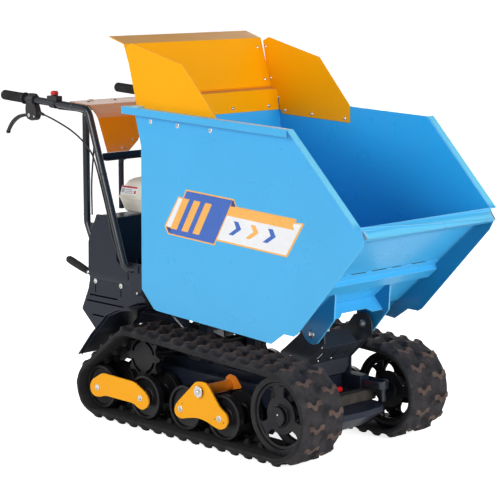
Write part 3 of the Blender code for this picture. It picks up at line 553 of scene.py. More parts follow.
def rounded(corners, radius, steps=10):
    """A 3-D line through the corners, with each inner corner turned into a bend."""
    points = [Vector(corners[0])]
    for before, corner, after in zip(corners, corners[1:], corners[2:]):
        corner = Vector(corner)
        back = (Vector(before) - corner).normalized()
        ahead = (Vector(after) - corner).normalized()
        reach = radius / math.tan(back.angle(ahead) / 2)
        first = corner + back * reach
        last = corner + ahead * reach
        for i in range(steps + 1):
            t = i / steps
            points.append(first * (1 - t) ** 2 + corner * 2 * t * (1 - t) + last * t ** 2)
    points.append(Vector(corners[-1]))
    return points


def flowing(points, steps=8):
    """A smooth 3-D line that passes through every point."""
    points = [Vector(p) for p in points]
    ends = [points[0] * 2 - points[1]] + points + [points[-1] * 2 - points[-2]]
    line = []
    for a, b, c, d in zip(ends, ends[1:], ends[2:], ends[3:]):
        for i in range(steps):
            t = i / steps
            bend = (2 * a - 5 * b + 4 * c - d) * t * t + (3 * b - a - 3 * c + d) * t ** 3
            line.append(0.5 * (2 * b + (c - a) * t + bend))
    return line + [points[-1]]


def filleted(outline, radius, steps=5):
    """A closed 2-D outline with its corners rounded off."""
    made = []
    count = len(outline)
    for i, point in enumerate(outline):
        here = Vector(point)
        back = Vector(outline[i - 1]) - here
        ahead = Vector(outline[(i + 1) % count]) - here
        reach = min(radius, back.length * 0.45, ahead.length * 0.45)
        first = here + back.normalized() * reach
        last = here + ahead.normalized() * reach
        for k in range(steps + 1):
            t = k / steps
            made.append(tuple(first * (1 - t) ** 2 + here * 2 * t * (1 - t) + last * t ** 2))
    return made


def circle(x, z, radius, sides):
    turn = 2 * math.pi / sides
    return [(x + radius * math.cos(k * turn), z + radius * math.sin(k * turn)) for k in range(sides)]


def polar(x, z, radius, degrees):
    angle = math.radians(degrees)
    return (x + radius * math.cos(angle), z + radius * math.sin(angle))


def arc_slot(x, z, inner, outer, start, end, steps=10):
    """The (x, z) outline of a curved bar or slot between two angles in degrees."""
    turns = [start + (end - start) * k / steps for k in range(steps + 1)]
    near = [polar(x, z, inner, turn) for turn in turns]
    far = [polar(x, z, outer, turn) for turn in turns]
    return near + far[::-1]


def carve(piece, cutter):
    """Cut one shape out of a piece and bake the result."""
    tool = placed("cutter", outward_mesh("cutter", cutter))
    step = piece.modifiers.new("cut", "BOOLEAN")
    step.object = tool
    step.operation = "DIFFERENCE"
    step.solver = "EXACT"
    bpy.context.view_layer.update()
    graph = bpy.context.evaluated_depsgraph_get()
    baked = bpy.data.meshes.new_from_object(piece.evaluated_get(graph))
    piece.modifiers.clear()
    piece.data = baked
    bpy.data.objects.remove(tool, do_unlink=True)


# ---------- the tracks ----------


class BeltLine:
    """The belt's inner line round its three wheels, read by distance along it."""

    def __init__(self):
        circles = [IDLER, SPROCKET, (ROLLER_X[0], ROLLER_Z, REAR_BEND)]
        spans = []
        for (ax, az, ar), (bx, bz, br) in zip(circles, circles[1:] + circles[:1]):
            run = math.atan2(bz - az, bx - ax)
            spans.append(run - math.acos((ar - br) / math.hypot(bx - ax, bz - az)))
        self.points = []
        for i, (x, z, radius) in enumerate(circles):
            start = spans[i - 1]
            end = spans[i]
            while end < start:
                end += 2 * math.pi
            steps = math.ceil((end - start) * radius / BEND_STEP)
            for k in range(steps + 1):
                angle = start + (end - start) * k / steps
                normal = Vector((math.cos(angle), math.sin(angle)))
                self.points.append((Vector((x, z)) + radius * normal, normal))
        self.lengths = [0.0]
        for (here, _), (there, _) in zip(self.points, self.points[1:] + self.points[:1]):
            self.lengths.append(self.lengths[-1] + (there - here).length)
        self.total = self.lengths[-1]
        self.count = round(self.total / LUG_PITCH)
        self.pitch = self.total / self.count

    def at(self, distance, out, y):
        """The 3-D point at this distance along the line and this far out from it."""
        distance %= self.total
        low = bisect.bisect_right(self.lengths, distance, 0, len(self.points)) - 1
        span = self.lengths[low + 1] - self.lengths[low]
        share = (distance - self.lengths[low]) / span if span > 1e-9 else 0.0
        here, normal = self.points[low]
        there, turn = self.points[(low + 1) % len(self.points)]
        point = here.lerp(there, share) + out * normal.lerp(turn, share).normalized()
        return (point.x, y, point.y)


CREST = 0.0066  # half the flat top of a ridge, along the belt
VALLEY = 0.0048  # height of the tread between two ridges
EDGE_VALLEY = 0.003
SHOULDER = 0.72  # share of the ridge's height at which its hollow flank starts
RING_STOPS = (-0.0234, -0.019, -0.0145, -0.0095, -CREST, 0.0, CREST, 0.0095, 0.0145, 0.019, 0.0234, 0.03)
STATIONS = (
    # (share of the half width, shift of the ridge along the belt, share of the ridge height)
    (0.02, 0.0, 0.2),
    (0.06, 0.0015, 0.62),
    (0.11, 0.0042, 0.95),
    (0.15, 0.0056, 1.0),
    (0.3, 0.0056, 0.97),
    (0.36, 0.0018, 1.0),
    (0.42, -0.0042, 1.0),
    (0.55, -0.0048, 0.97),
    (0.61, 0.0008, 1.0),
    (0.67, 0.0058, 1.0),
    (0.81, 0.0058, 0.95),
    (0.86, 0.004, 0.8),
    (0.92, 0.0014, 0.42),
    (0.985, 0.0, 0.24),
)
# (distance from the belt's middle, height) of the band's edges and inner face
BAND_EDGE = (
    (0.09, 0.0075), (0.0898, 0.002), (0.088, 0.0), (-0.088, 0.0), (-0.0898, 0.002), (-0.09, 0.0075),
)
# (height, half length, near side, far side) of a guide horn, from its foot to its tip
HORN_LEVELS = (
    (0.001, 0.013, 0.015, 0.0295), (-0.009, 0.0095, 0.0165, 0.0285), (-0.016, 0.0055, 0.0185, 0.0265),
)


def tread_height(along, share):
    """How far the tread stands out at this distance from the middle of a ridge."""
    gap = abs(along)
    if gap <= CREST + 1e-6:
        return LUG_HEIGHT * share
    fall = (gap - CREST) / (LUG_PITCH / 2 - CREST)
    valley = VALLEY if share > 0.3 else EDGE_VALLEY
    shoulder = LUG_HEIGHT * SHOULDER * share
    return min(LUG_HEIGHT * share, valley + max(0.0, shoulder - valley) * (1 - fall) ** 1.7)


def add_tread(shape, line, middle, side):
    """Band and tread in one skin: two rows of ridges half a pitch apart, with hollow flanks."""
    rings = []
    crests = []
    for k in range(line.count):
        for stop in RING_STOPS:
            place = k * line.pitch + stop * line.pitch / LUG_PITCH
            skin = []
            on_crest = []
            for row in (-1, 1):
                offset = 0.0 if row == side else LUG_PITCH / 2
                along = (stop + offset + LUG_PITCH / 2) % LUG_PITCH - LUG_PITCH / 2
                half = []
                for share, shift, tall in STATIONS:
                    out = CARCASS + tread_height(along, tall)
                    half.append(line.at(place + shift, out, middle + row * BELT_HALF * share))
                skin += half[::-1] if row < 0 else half
                on_crest.append(abs(along) < CREST + 1e-6)
            skin += [line.at(place, out, middle + y) for y, out in BAND_EDGE]
            rings.append(skin)
            crests.append(on_crest)
    first = len(shape.marks)
    shape.loft(rings, closed=True)
    across = len(STATIONS)
    for k, (here, there) in enumerate(zip(crests, crests[1:] + crests[:1])):
        for i in range(2 * across - 1):
            left = here[0] and there[0] and 3 <= i <= across - 4
            right = here[1] and there[1] and 2 <= i - across <= across - 5
            shape.marks[first + k * len(rings[0]) + i] = 2 if left or right else 1


def add_horns(shape, line, middle, start):
    """Pair of guide horns on the belt's inner face."""
    for row in (-1, 1):
        rings = []
        for out, length, low, high in HORN_LEVELS:
            foot = oblong(-length, length, low, high)
            rings.append([line.at(start + along, out, middle + row * dy) for along, dy in foot])
        shape.loft(rings, 0)


def make_belt(line, side, tag):
    shape = Shape()
    middle = side * TRACK_MIDDLE
    add_tread(shape, line, middle, side)
    for k in range(line.count):
        add_horns(shape, line, middle, (k + 0.25) * line.pitch)
    shape.piece(
        "belt_" + tag, "chassis", ["belt", "lug_side", "lug_top"], 62, replaces=["track_belt_" + tag],
    )


def make_roller(side, tag, index):
    """Twin road wheel: dished faces, rolled rims and a capped hub."""
    half = [
        (0.0104, 0.056), (0.018, 0.056), (0.019, 0.058), (0.0255, 0.0575), (0.027, 0.056),
        (0.0275, 0.042), (0.03, 0.04), (0.059, 0.0405), (0.0625, 0.0425), (0.064, 0.0525),
        (0.0655, 0.054), (0.0722, 0.054), (ROLLER_RADIUS, 0.0525), (ROLLER_RADIUS, 0.0325),
        (0.0725, 0.031), (0.035, 0.0325), (0.029, 0.029),
    ]
    shape = Shape()
    shape.lathe((ROLLER_X[index], side * TRACK_MIDDLE, ROLLER_Z), ACROSS, mirrored(half), 64)
    number = f"{tag}{index + 1}"
    shape.piece("road_wheel_" + number, "wheel_" + number, ["wheel"], 30, replaces=["roller_" + number])


def make_sprocket(side, tag):
    """Toothed drive wheel with curved slots, bolt ring and shaft."""
    x, z, _ = SPROCKET
    teeth = 10
    outline = []
    flank = [(-0.3, 0.066), (-0.17, 0.0745), (-0.1, 0.0815), (0.0, 0.0828)]
    tooth = flank + [(-offset, radius) for offset, radius in flank[-2::-1]] + [(0.5, 0.0645)]
    for k in range(teeth):
        outline += [polar(x, z, radius, 360 * (k + offset) / teeth) for offset, radius in tooth]
    shape = Shape()
    shape.plate(outline, TRACK_MIDDLE - 0.011, TRACK_MIDDLE + 0.011, side)
    origin = (x, side * 0.222, z)
    out = (0, side, 0)
    hub = [
        (0, 0), (0.034, 0), (0.034, 0.04), (0.03, 0.043), (0.023, 0.043), (0.0225, 0.052),
        (0.0205, 0.054), (0.015, 0.054), (0.0145, 0.05), (0, 0.05),
    ]
    shape.lathe(origin, out, hub, 48)
    shape.lathe((x, side * 0.073, z), out, rod(0.0125, 0.155), 32)
    shape.bolt((x, side * 0.2718, z), out, 0.0075, 1, False)
    for k in range(4):
        bolt_x, bolt_z = polar(x, z, 0.042, 45 + 90 * k)
        shape.bolt((bolt_x, side * 0.26, bolt_z), out, 0.0045, 1, False)
    made = shape.piece(
        "sprocket_" + tag, "drive_" + tag, ["wheel", "zinc"], 35, replaces=["drive_sprocket_" + tag],
    )
    slots = Shape()
    for k in range(4):
        slots.plate(arc_slot(x, z, 0.0485, 0.059, 90 * k + 14, 90 * k + 76), 0.225, 0.275, side)
    carve(made, slots)


def make_idler(side, tag, first_spoke):
    """Front wheel: two rims on one hub, each with three broad spokes."""
    x, z, _ = IDLER
    y = side * TRACK_MIDDLE
    shape = Shape()
    half_hub = [
        (0.013, 0.05), (0.034, 0.05), (0.036, 0.0485), (0.037, 0.045), (0.059, 0.044), (0.0605, 0.0425),
        (0.0605, 0.037), (0.035, 0.033),
    ]
    shape.lathe((x, y, z), ACROSS, mirrored(half_hub), 72)
    for way in (-1, 1):
        rim = [
            (0.0955, 0.044), (0.099, 0.0455), (0.103, 0.046), (0.105, 0.052), (0.1065, 0.0535),
            (0.1225, 0.0535), (0.1243, 0.052), (0.1243, 0.0325), (0.1228, 0.031), (0.0985, 0.0325),
            (0.0955, 0.037),
        ]
        shape.lathe((x, y, z), (0, way, 0), rim, 96)
        for k in range(3):
            middle = first_spoke + 120 * k
            bar = [(0.057, 21.0), (0.066, 15.0), (0.08, 13.5), (0.091, 15.5), (0.0985, 21.0)]
            outline = [polar(x, z, radius, middle - spread) for radius, spread in bar]
            outline += [polar(x, z, radius, middle + spread) for radius, spread in bar[::-1]]
            shape.plate(outline, y + way * 0.038, y + way * 0.0438)
            rib = [(0.05, -4), (0.099, -3), (0.099, 3), (0.05, 4)]
            spine = [polar(x, z, radius, middle + turn) for radius, turn in rib]
            shape.plate(spine, y + way * 0.033, y + way * 0.039)
    shape.piece(
        "front_wheel_" + tag, "front_wheel_" + tag, ["wheel"], 35, replaces=["idler_wheel_" + tag],
    )
    cap = Shape()
    out = (0, side, 0)
    dome = [
        (0, 0), (0.031, 0), (0.0318, 0.001), (0.0318, 0.01), (0.03, 0.0125), (0.021, 0.0132),
        (0.02, 0.0122), (0, 0.0122),
    ]
    cap.lathe((x, side * 0.2995, z), out, dome, 56)
    cap.screw((x + 0.004, side * 0.3117, z + 0.006), out, 0.0032, 1)
    cap.piece("front_axle_cap_" + tag, "chassis", ["wheel", "zinc"], 35)


def make_inner_guards(side, tag):
    """Plates on the chassis side of a track: over the gearbox, behind the drive and by the front bogie."""
    over = [(-0.3, 0.305), (-0.05, 0.312), (-0.05, 0.352), (-0.09, 0.375), (-0.3, 0.375)]
    behind = [(-0.372, 0.17), (-0.31, 0.17), (-0.3, 0.195), (-0.3, 0.235), (-0.372, 0.235)]
    keel = [
        (0.245, 0.05), (0.372, 0.044), (0.385, 0.058), (0.385, 0.135), (0.35, 0.165), (0.29, 0.165),
        (0.245, 0.12),
    ]
    shape = Shape()
    shape.plate(over, 0.14, 0.144, side)
    shape.plate(behind, 0.14, 0.144, side)
    shape.plate(keel, 0.17, 0.176, side)
    shape.piece("inner_guards_" + tag, "chassis", ["frame"], 30, 0.001)


def make_links(side, tag):
    """Rear link plate with its axles and bolts, and the rocking front bogie with its sleeve."""
    out = (0, side, 0)
    rear = [
        (-0.29, 0.16), (-0.345, 0.128), (-0.355, 0.108), (-0.354, 0.089), (-0.337, 0.073),
        (-0.304, 0.074), (-0.276, 0.084), (-0.131, 0.083), (-0.106, 0.07), (-0.084, 0.068),
        (-0.06, 0.083), (-0.052, 0.105), (-0.07, 0.129), (-0.128, 0.156),
    ]
    shape = Shape().plate(filleted(rear, 0.014), *LINK_FACES, side)
    for x in ROLLER_X[:2]:
        shape.lathe((x, side * 0.1853, ROLLER_Z), out, rod(0.01, 0.132), 28, 1)
        shape.bolt((x, side * LINK_FACES[1], ROLLER_Z), out, 0.0062, 2)
    shape.piece(
        "rear_plate_" + tag, "chassis", ["link", "wheel", "zinc"], 35, 0.0008,
        replaces=["rear_link_" + tag],
    )
    front = [
        (0.19, 0.211), (0.173, 0.207), (0.079, 0.12), (0.07, 0.097), (0.078, 0.081), (0.104, 0.073),
        (0.138, 0.083), (0.181, 0.091), (0.222, 0.087), (0.264, 0.074), (0.288, 0.071), (0.309, 0.08),
        (0.323, 0.1), (0.317, 0.125), (0.284, 0.142), (0.235, 0.2), (0.219, 0.212),
    ]
    shape = Shape().plate(filleted(front, 0.014), *LINK_FACES, side)
    sleeve = ring(0.0105, 0.018, 0.128)
    shape.lathe((BOGIE_PIVOT[0], side * 0.188, BOGIE_PIVOT[1]), out, sleeve, 40, 3)
    gusset = [
        (0.178, 0.203), (0.195, 0.216), (0.2216, 0.212), (0.251, 0.178), (0.202, 0.164), (0.178, 0.172),
    ]
    shape.plate(filleted(gusset, 0.005), 0.188, 0.1925, side, 3)
    for y in (0.205, 0.3):
        shape.screw((BOGIE_PIVOT[0] - 0.003, side * y, BOGIE_PIVOT[1] + 0.0176), (-0.1, 0, 1), 0.0042, 2)
    for x in ROLLER_X[2:]:
        shape.lathe((x, side * 0.189, ROLLER_Z), out, rod(0.01, 0.128), 28, 1)
        shape.bolt((x, side * LINK_FACES[1], ROLLER_Z), out, 0.0062, 2)
    for x, z in ((0.089, 0.124), (0.109, 0.1245), (0.262, 0.101), (0.303, 0.0965)):
        shape.lathe((x, side * 0.3214, z), out, rod(0.0022, 0.0004), 14, 4)
    made = ["link", "wheel", "zinc", "sleeve", "black"]
    shape.piece("bogie_plate_" + tag, "bogie_" + tag, made, 35, 0.0008, replaces=["front_bogie_" + tag])
    shape = Shape()
    at = (BOGIE_PIVOT[0], side * 0.329, BOGIE_PIVOT[1])
    shape.lathe(at, out, [(0, 0), (0.0188, 0), (0.0188, 0.0012), (0.0178, 0.002), (0, 0.002)], 40)
    shape.bolt((at[0], side * 0.331, at[2]), out, 0.0075, 0, False)
    shape.piece("bogie_bolt_" + tag, "chassis", ["zinc"], 35)


# ---------- handles and controls ----------


def make_handle(side, tag):
    """Bent tube with its two joint bands, and its ribbed rubber grip."""
    y = side * HANDLE_Y
    route = [
        (-0.8775, y, 1.0617), (-0.418, y, 1.0386), (-0.234, y, 0.513), (-0.178, side * 0.212, 0.516),
        (-0.178, side * 0.1485, 0.516),
    ]
    shape = Shape().tube(rounded(route, 0.036), 0.0125, 40)
    band = [(0.012, 0), (0.0131, 0), (0.0134, 0.0008), (0.0134, 0.0032), (0.0131, 0.004), (0.012, 0.004)]
    shape.lathe((-0.496, y, 1.0425), HANDLE_LEVEL, band, 40)
    shape.lathe((-0.3433, y, 0.8252), HANDLE_FALL, band, 40)
    shape.piece("handlebar_" + tag, "chassis", ["tube"], 35, replaces=["handle_" + tag])
    grip = Shape()
    profile = [(0, 0), (0.012, 0), (0.0155, 0.0012), (0.0172, 0.004)]
    for k in range(16):
        start = 0.01 + 0.0064 * k
        profile += [
            (0.0175, start), (0.0175, start + 0.004), (0.0161, start + 0.0047), (0.0161, start + 0.0059),
        ]
    profile += [(0.0175, 0.1135), (0.0178, 0.118), (0.0205, 0.12), (0.0207, 0.1245), (0.0195, 0.126)]
    profile += [(0.0129, 0.126), (0.0129, 0.0045), (0, 0.0045)]
    grip.lathe((GRIP_START[0], y, GRIP_START[1]), HANDLE_LEVEL, profile, 48)
    grip.piece("hand_grip_" + tag, "chassis", ["grip"], 40, replaces=["grip_" + tag])


def make_brake_lever(side, tag):
    """Bent blade with a ball end, its perch clamped to the handle, and their bolts."""
    y = side * HANDLE_Y
    blade = [
        (-0.727, 0.9925), (-0.727, 1.0035), (-0.745, 1.0045), (-0.77, 1.002), (-0.799, 0.996),
        (-0.822, 0.985), (-0.841, 0.971), (-0.856, 0.954), (-0.865, 0.94), (-0.869, 0.931),
        (-0.861, 0.9275), (-0.848, 0.9445), (-0.832, 0.962), (-0.814, 0.9745), (-0.795, 0.984),
        (-0.77, 0.9905), (-0.745, 0.993),
    ]
    shape = Shape().plate(filleted(blade, 0.006, 3), y - 0.0055, y + 0.0055)
    ball = [(0, 0), (0.006, 0), (0.0068, 0.002), (0.0068, 0.011), (0.006, 0.013), (0, 0.013)]
    shape.lathe((-0.8625, y - 0.0065, 0.9325), ACROSS, ball, 24)
    shape.piece(
        "lever_blade_" + tag, "brake_" + tag, ["black"], 40, 0.0026, 3, replaces=["brake_lever_" + tag],
    )
    perch = Shape()
    out = (0, side, 0)
    clamp = [(0.0126, 0), (0.018, 0), (0.0192, 0.0015), (0.0192, 0.03), (0.018, 0.0315), (0.0126, 0.0315)]
    perch.lathe((-0.733, y, 1.0544), HANDLE_LEVEL, clamp, 40)
    body = [
        (-0.743, 1.048), (-0.701, 1.046), (-0.69, 1.024), (-0.686, 1.006), (-0.693, 0.986),
        (-0.713, 0.98), (-0.742, 0.988), (-0.748, 1.018),
    ]
    perch.plate(filleted(body, 0.01, 5), y - 0.0125, y + 0.0125)
    top = [(-0.736, 1.076), (-0.7, 1.0742), (-0.7, 1.04), (-0.736, 1.04)]
    perch.plate(filleted(top, 0.006, 4), y - 0.008, y + 0.008)
    adjuster = [
        (0, 0), (0.007, 0), (0.007, 0.012), (0.0052, 0.014), (0.0052, 0.028), (0.004, 0.034), (0, 0.034),
    ]
    perch.lathe((-0.689, y, 1.012), (1, 0, -0.25), adjuster, 28)
    perch.piece("lever_perch_" + tag, "chassis", ["black"], 35, 0.0025, 3, ["lever_clamp_" + tag], 50)
    fittings = Shape()
    fittings.bolt((-0.727, side * (HANDLE_Y + 0.0125), 0.999), out, 0.0036, 0)
    fittings.bolt((-0.727, side * (HANDLE_Y - 0.0125), 0.999), (0, -side, 0), 0.0036, 0)
    fittings.screw((-0.698, side * (HANDLE_Y + 0.0125), 0.996), out, 0.0034, 0)
    fittings.screw((-0.718, side * (HANDLE_Y + 0.008), 1.06), out, 0.0034, 0)
    fittings.piece("perch_fittings_" + tag, "chassis", ["zinc"], 35)


def make_brake_cable(side, tag):
    """Cable from the lever, round behind the handle and down into the frame."""
    y = side * HANDLE_Y
    route = flowing([
        (-0.659, y, 1.005), (-0.59, y, 0.987), (-0.5, y, 0.956), (-0.43, y, 0.915), (-0.386, y, 0.864),
        (-0.33, y, 0.715), (-0.291, side * 0.262, 0.598), (-0.26, side * 0.242, 0.523),
        (-0.236, side * 0.17, 0.501), (-0.233, side * 0.144, 0.46), (-0.233, side * 0.142, 0.3585),
    ])
    shape = Shape().tube(route, 0.003, 16)
    shape.piece("cable_" + tag, "chassis", ["black"], 40, replaces=["brake_cable_" + tag])


def make_console():
    """Hoop behind the hood with its bands and gussets, and the bolts, edge trim and clips of the hood."""
    half = [(-0.465, -0.2, 0.556), (-0.506, -0.2, 0.64), (-0.506, -0.2, 1.037)]
    route = half + [(x, -y, z) for x, y, z in half[::-1]]
    shape = Shape().tube(rounded(route, 0.035), 0.012, 36)
    band = ring(0.0118, 0.0128, 0.004)
    for y in (-0.2, 0.2):
        shape.lathe((-0.506, y, 0.665), UP, band, 36)
        shape.box((-0.486, y - 0.004, 0.59), (-0.453, y + 0.004, 0.64))
    shape.piece("rear_hoop", "chassis", ["tube"], 35, replaces=["console_hoop"])
    fixings = Shape()
    slope = Vector((0.9218, 0, 0.3875))
    for side, _ in SIDES:
        for y, x, z in ((0.166, -0.357, 0.905), (0.113, -0.3665, 0.928)):
            fixings.bolt(Vector((x, side * y, z)) + slope * 0.0005, slope, 0.0048, 0)
    for y in (-0.18, -0.06, 0.06, 0.18):
        fixings.screw((-0.515, y, 1.0516), (0.06, 0, 1), 0.006, 1)
    fixings.piece("hood_fixings", "chassis", ["zinc", "black"], 35)
    trim = Shape()
    trim.tube([(-0.5465, -0.235, 1.0525), (-0.5465, 0.235, 1.0525)], 0.003, 14)
    for y in (-0.15, 0.15):
        trim.box((-0.5475, y - 0.01, 1.049), (-0.535, y + 0.01, 1.058), 1)
    trim.piece("hood_edge_trim", "chassis", ["black", "white_plastic"], 35, 0.0006)


def make_levers():
    """Gear stick with its ferrule and collar, tipping control with its gaiter, and the stop button."""
    root = Vector((-0.458, -0.215, 0.4615))
    along = Vector((-0.14, 0, 0.0415)).normalized()
    shape = Shape()
    shape.lathe(root, along, rod(0.005, 0.03), 24, 1)
    ferrule = [(0, 0.02), (0.008, 0.02), (0.0088, 0.022), (0.008, 0.032), (0, 0.032)]
    shape.lathe(root, along, ferrule, 28, 1)
    grip = [
        (0, 0.03), (0.0105, 0.03), (0.0115, 0.034), (0.0128, 0.06), (0.0135, 0.09), (0.0135, 0.128),
        (0.0122, 0.139), (0.0085, 0.1445), (0, 0.146),
    ]
    shape.lathe(root, along, grip, 40, 0)
    shape.piece("gear_stick", "gear_stick", ["grip", "chrome"], 40, replaces=["gear_lever"])
    boot = Shape()
    collar = [
        (0.0075, -0.012), (0.015, -0.012), (0.015, -0.004), (0.0125, 0.002), (0.011, 0.009),
        (0.0095, 0.01), (0.0075, 0.009),
    ]
    boot.lathe(root, along, collar, 36)
    boot.piece("gear_boot", "chassis", ["black"], 40)
    at = (-0.47, 0.12, 1.056)
    shape = Shape()
    profile = [
        (0, 0), (0.006, 0), (0.006, 0.05), (0.009, 0.052), (0.0135, 0.056), (0.0165, 0.063),
        (0.017, 0.068), (0.015, 0.075), (0.009, 0.0795), (0, 0.08),
    ]
    shape.lathe(at, UP, profile, 40)
    shape.lathe(at, UP, ring(0.006, 0.0085, 0.05, 0.044), 24, 1)
    shape.piece("tip_control", "tip_stick", ["black", "zinc"], 40, replaces=["tipping_lever"])
    base = Shape()
    base.box((-0.623, -HANDLE_Y - 0.014, 1.056), (-0.572, -HANDLE_Y + 0.014, 1.0735))
    seat = [(0, 0), (0.0125, 0), (0.0125, 0.003), (0.011, 0.004), (0, 0.004)]
    base.lathe((-0.597, -HANDLE_Y, 1.073), UP, seat, 36)
    base.lathe((-0.614, -HANDLE_Y, 1.0465), (1, 0, -0.05), ring(0.0124, 0.0155, 0.03), 36)
    base.piece("switch_box", "chassis", ["black"], 35, 0.003, 3, replaces=["kill_switch_base"])
    shape = Shape()
    profile = [
        (0, 0.005), (0.007, 0.005), (0.007, 0.0095), (0.0128, 0.0095), (0.0136, 0.0105), (0.0136, 0.017),
        (0.013, 0.0195), (0.0105, 0.0215), (0.007, 0.0225), (0, 0.0228),
    ]
    shape.lathe((-0.597, -HANDLE_Y, 1.068), UP, profile, 44)
    shape.piece("stop_button", "kill", ["red"], 40, replaces=["kill_button"])


# ---------- covers, tank, engine ----------


def make_side_panel(side, tag):
    """Flat side panel with its slots, the thicker skin on it, its bolts and the foot of the handle."""
    outline = [
        (-0.406, 0.681), (-0.45, 0.585), (-0.452, 0.486), (-0.444, 0.46), (-0.454, 0.418), (-0.49, 0.343),
        (-0.406, 0.27), (-0.336, 0.312), (-0.255, 0.378), (-0.197, 0.401), (-0.153, 0.41), (-0.162, 0.42),
        (-0.223, 0.471), (-0.238, 0.5), (-0.297, 0.53), (-0.297, 0.682),
    ]
    shape = Shape().plate(filleted(outline, 0.006, 3), *PANEL_FACES, side)
    made = shape.piece("engine_panel_" + tag, "chassis", ["frame"], 30, replaces=["side_panel_" + tag])
    slots = Shape()
    for x0, x1, z in ((-0.448, -0.3, 0.396), (-0.462, -0.27, 0.374), (-0.433, -0.345, 0.327)):
        slots.plate(filleted(oblong(x0, x1, z, z + 0.0055), 0.0025), *THROUGH_PANEL, side)
    for x in (-0.415, -0.282):
        upright = oblong(x - 0.0025, x + 0.0025, 0.408, 0.436)
        slots.plate(filleted(upright, 0.002), *THROUGH_PANEL, side)
    screws = [(-0.394, 0.663), (-0.442, 0.578), (-0.444, 0.497), (-0.305, 0.64)]
    for x, z in screws + [(-0.399, 0.292)]:
        slots.plate(circle(x, z, 0.003, 16), *THROUGH_PANEL, side)
    carve(made, slots)
    upper = [
        (-0.4035, 0.678), (-0.447, 0.584), (-0.4485, 0.486), (-0.444, 0.47), (-0.242, 0.47),
        (-0.242, 0.501), (-0.2995, 0.531), (-0.2995, 0.679),
    ]
    skin = Shape().plate(filleted(upper, 0.006, 3), 0.2417, 0.2452, side)
    ledge = [(0.241, 0.476), (0.2458, 0.4752), (0.246, 0.469), (0.2418, 0.457), (0.241, 0.456)]
    skin.loft([[(x, side * y, z) for y, z in ledge] for x in (-0.4445, -0.23)])
    skin.piece("panel_skin_" + tag, "chassis", ["frame"], 25, 0.0005)
    bolts = Shape()
    out = (0, side, 0)
    for x, z in ((-0.415, 0.449), (-0.282, 0.448), (-0.195, 0.435)):
        bolts.bolt((x, side * 0.2416, z), out, 0.0048)
    for x, z in screws:
        bolts.screw((x, side * 0.2451, z), out, 0.0042, 1)
    pad = [(-0.244, 0.536), (-0.166, 0.536), (-0.17, 0.442), (-0.196, 0.424), (-0.229, 0.424)]
    foot = Shape().plate(filleted(pad, 0.008, 4), 0.242, 0.2458, side)
    side_box(foot, (-0.212, -0.184), (0.23, 0.25), (0.504, 0.53), side)
    foot.piece("handle_foot_" + tag, "chassis", ["frame"], 30, 0.0012)
    bolts.piece("panel_bolts_" + tag, "chassis", ["zinc", "black"], 35)


def make_track_guard(side, tag):
    """Curved guard over the rear of the track, as one smooth sheet."""
    corners = ((-0.402, 0.208), (-0.333, 0.288), (-0.253, 0.365), (-0.197, 0.39), (-0.134, 0.402))
    line = rounded([(x, 0, z) for x, z in corners], 0.03, 6)
    upper = []
    for i, point in enumerate(line):
        run = (line[min(i + 1, len(line) - 1)] - line[max(i - 1, 0)]).normalized()
        upper.append((point.x - 0.003 * run.z, point.z + 0.003 * run.x))
    outline = [(p.x, p.z) for p in line] + upper[::-1]
    shape = Shape().plate(outline, 0.162, 0.332, side)
    lip = [(x, z - 0.01) for x, z in upper]
    shape.plate([(p.x, p.z) for p in line] + lip[::-1], 0.3155, 0.318, side)
    shape.piece("guard_" + tag, "chassis", ["frame"], 30, 0.0006, replaces=["track_guard_" + tag])


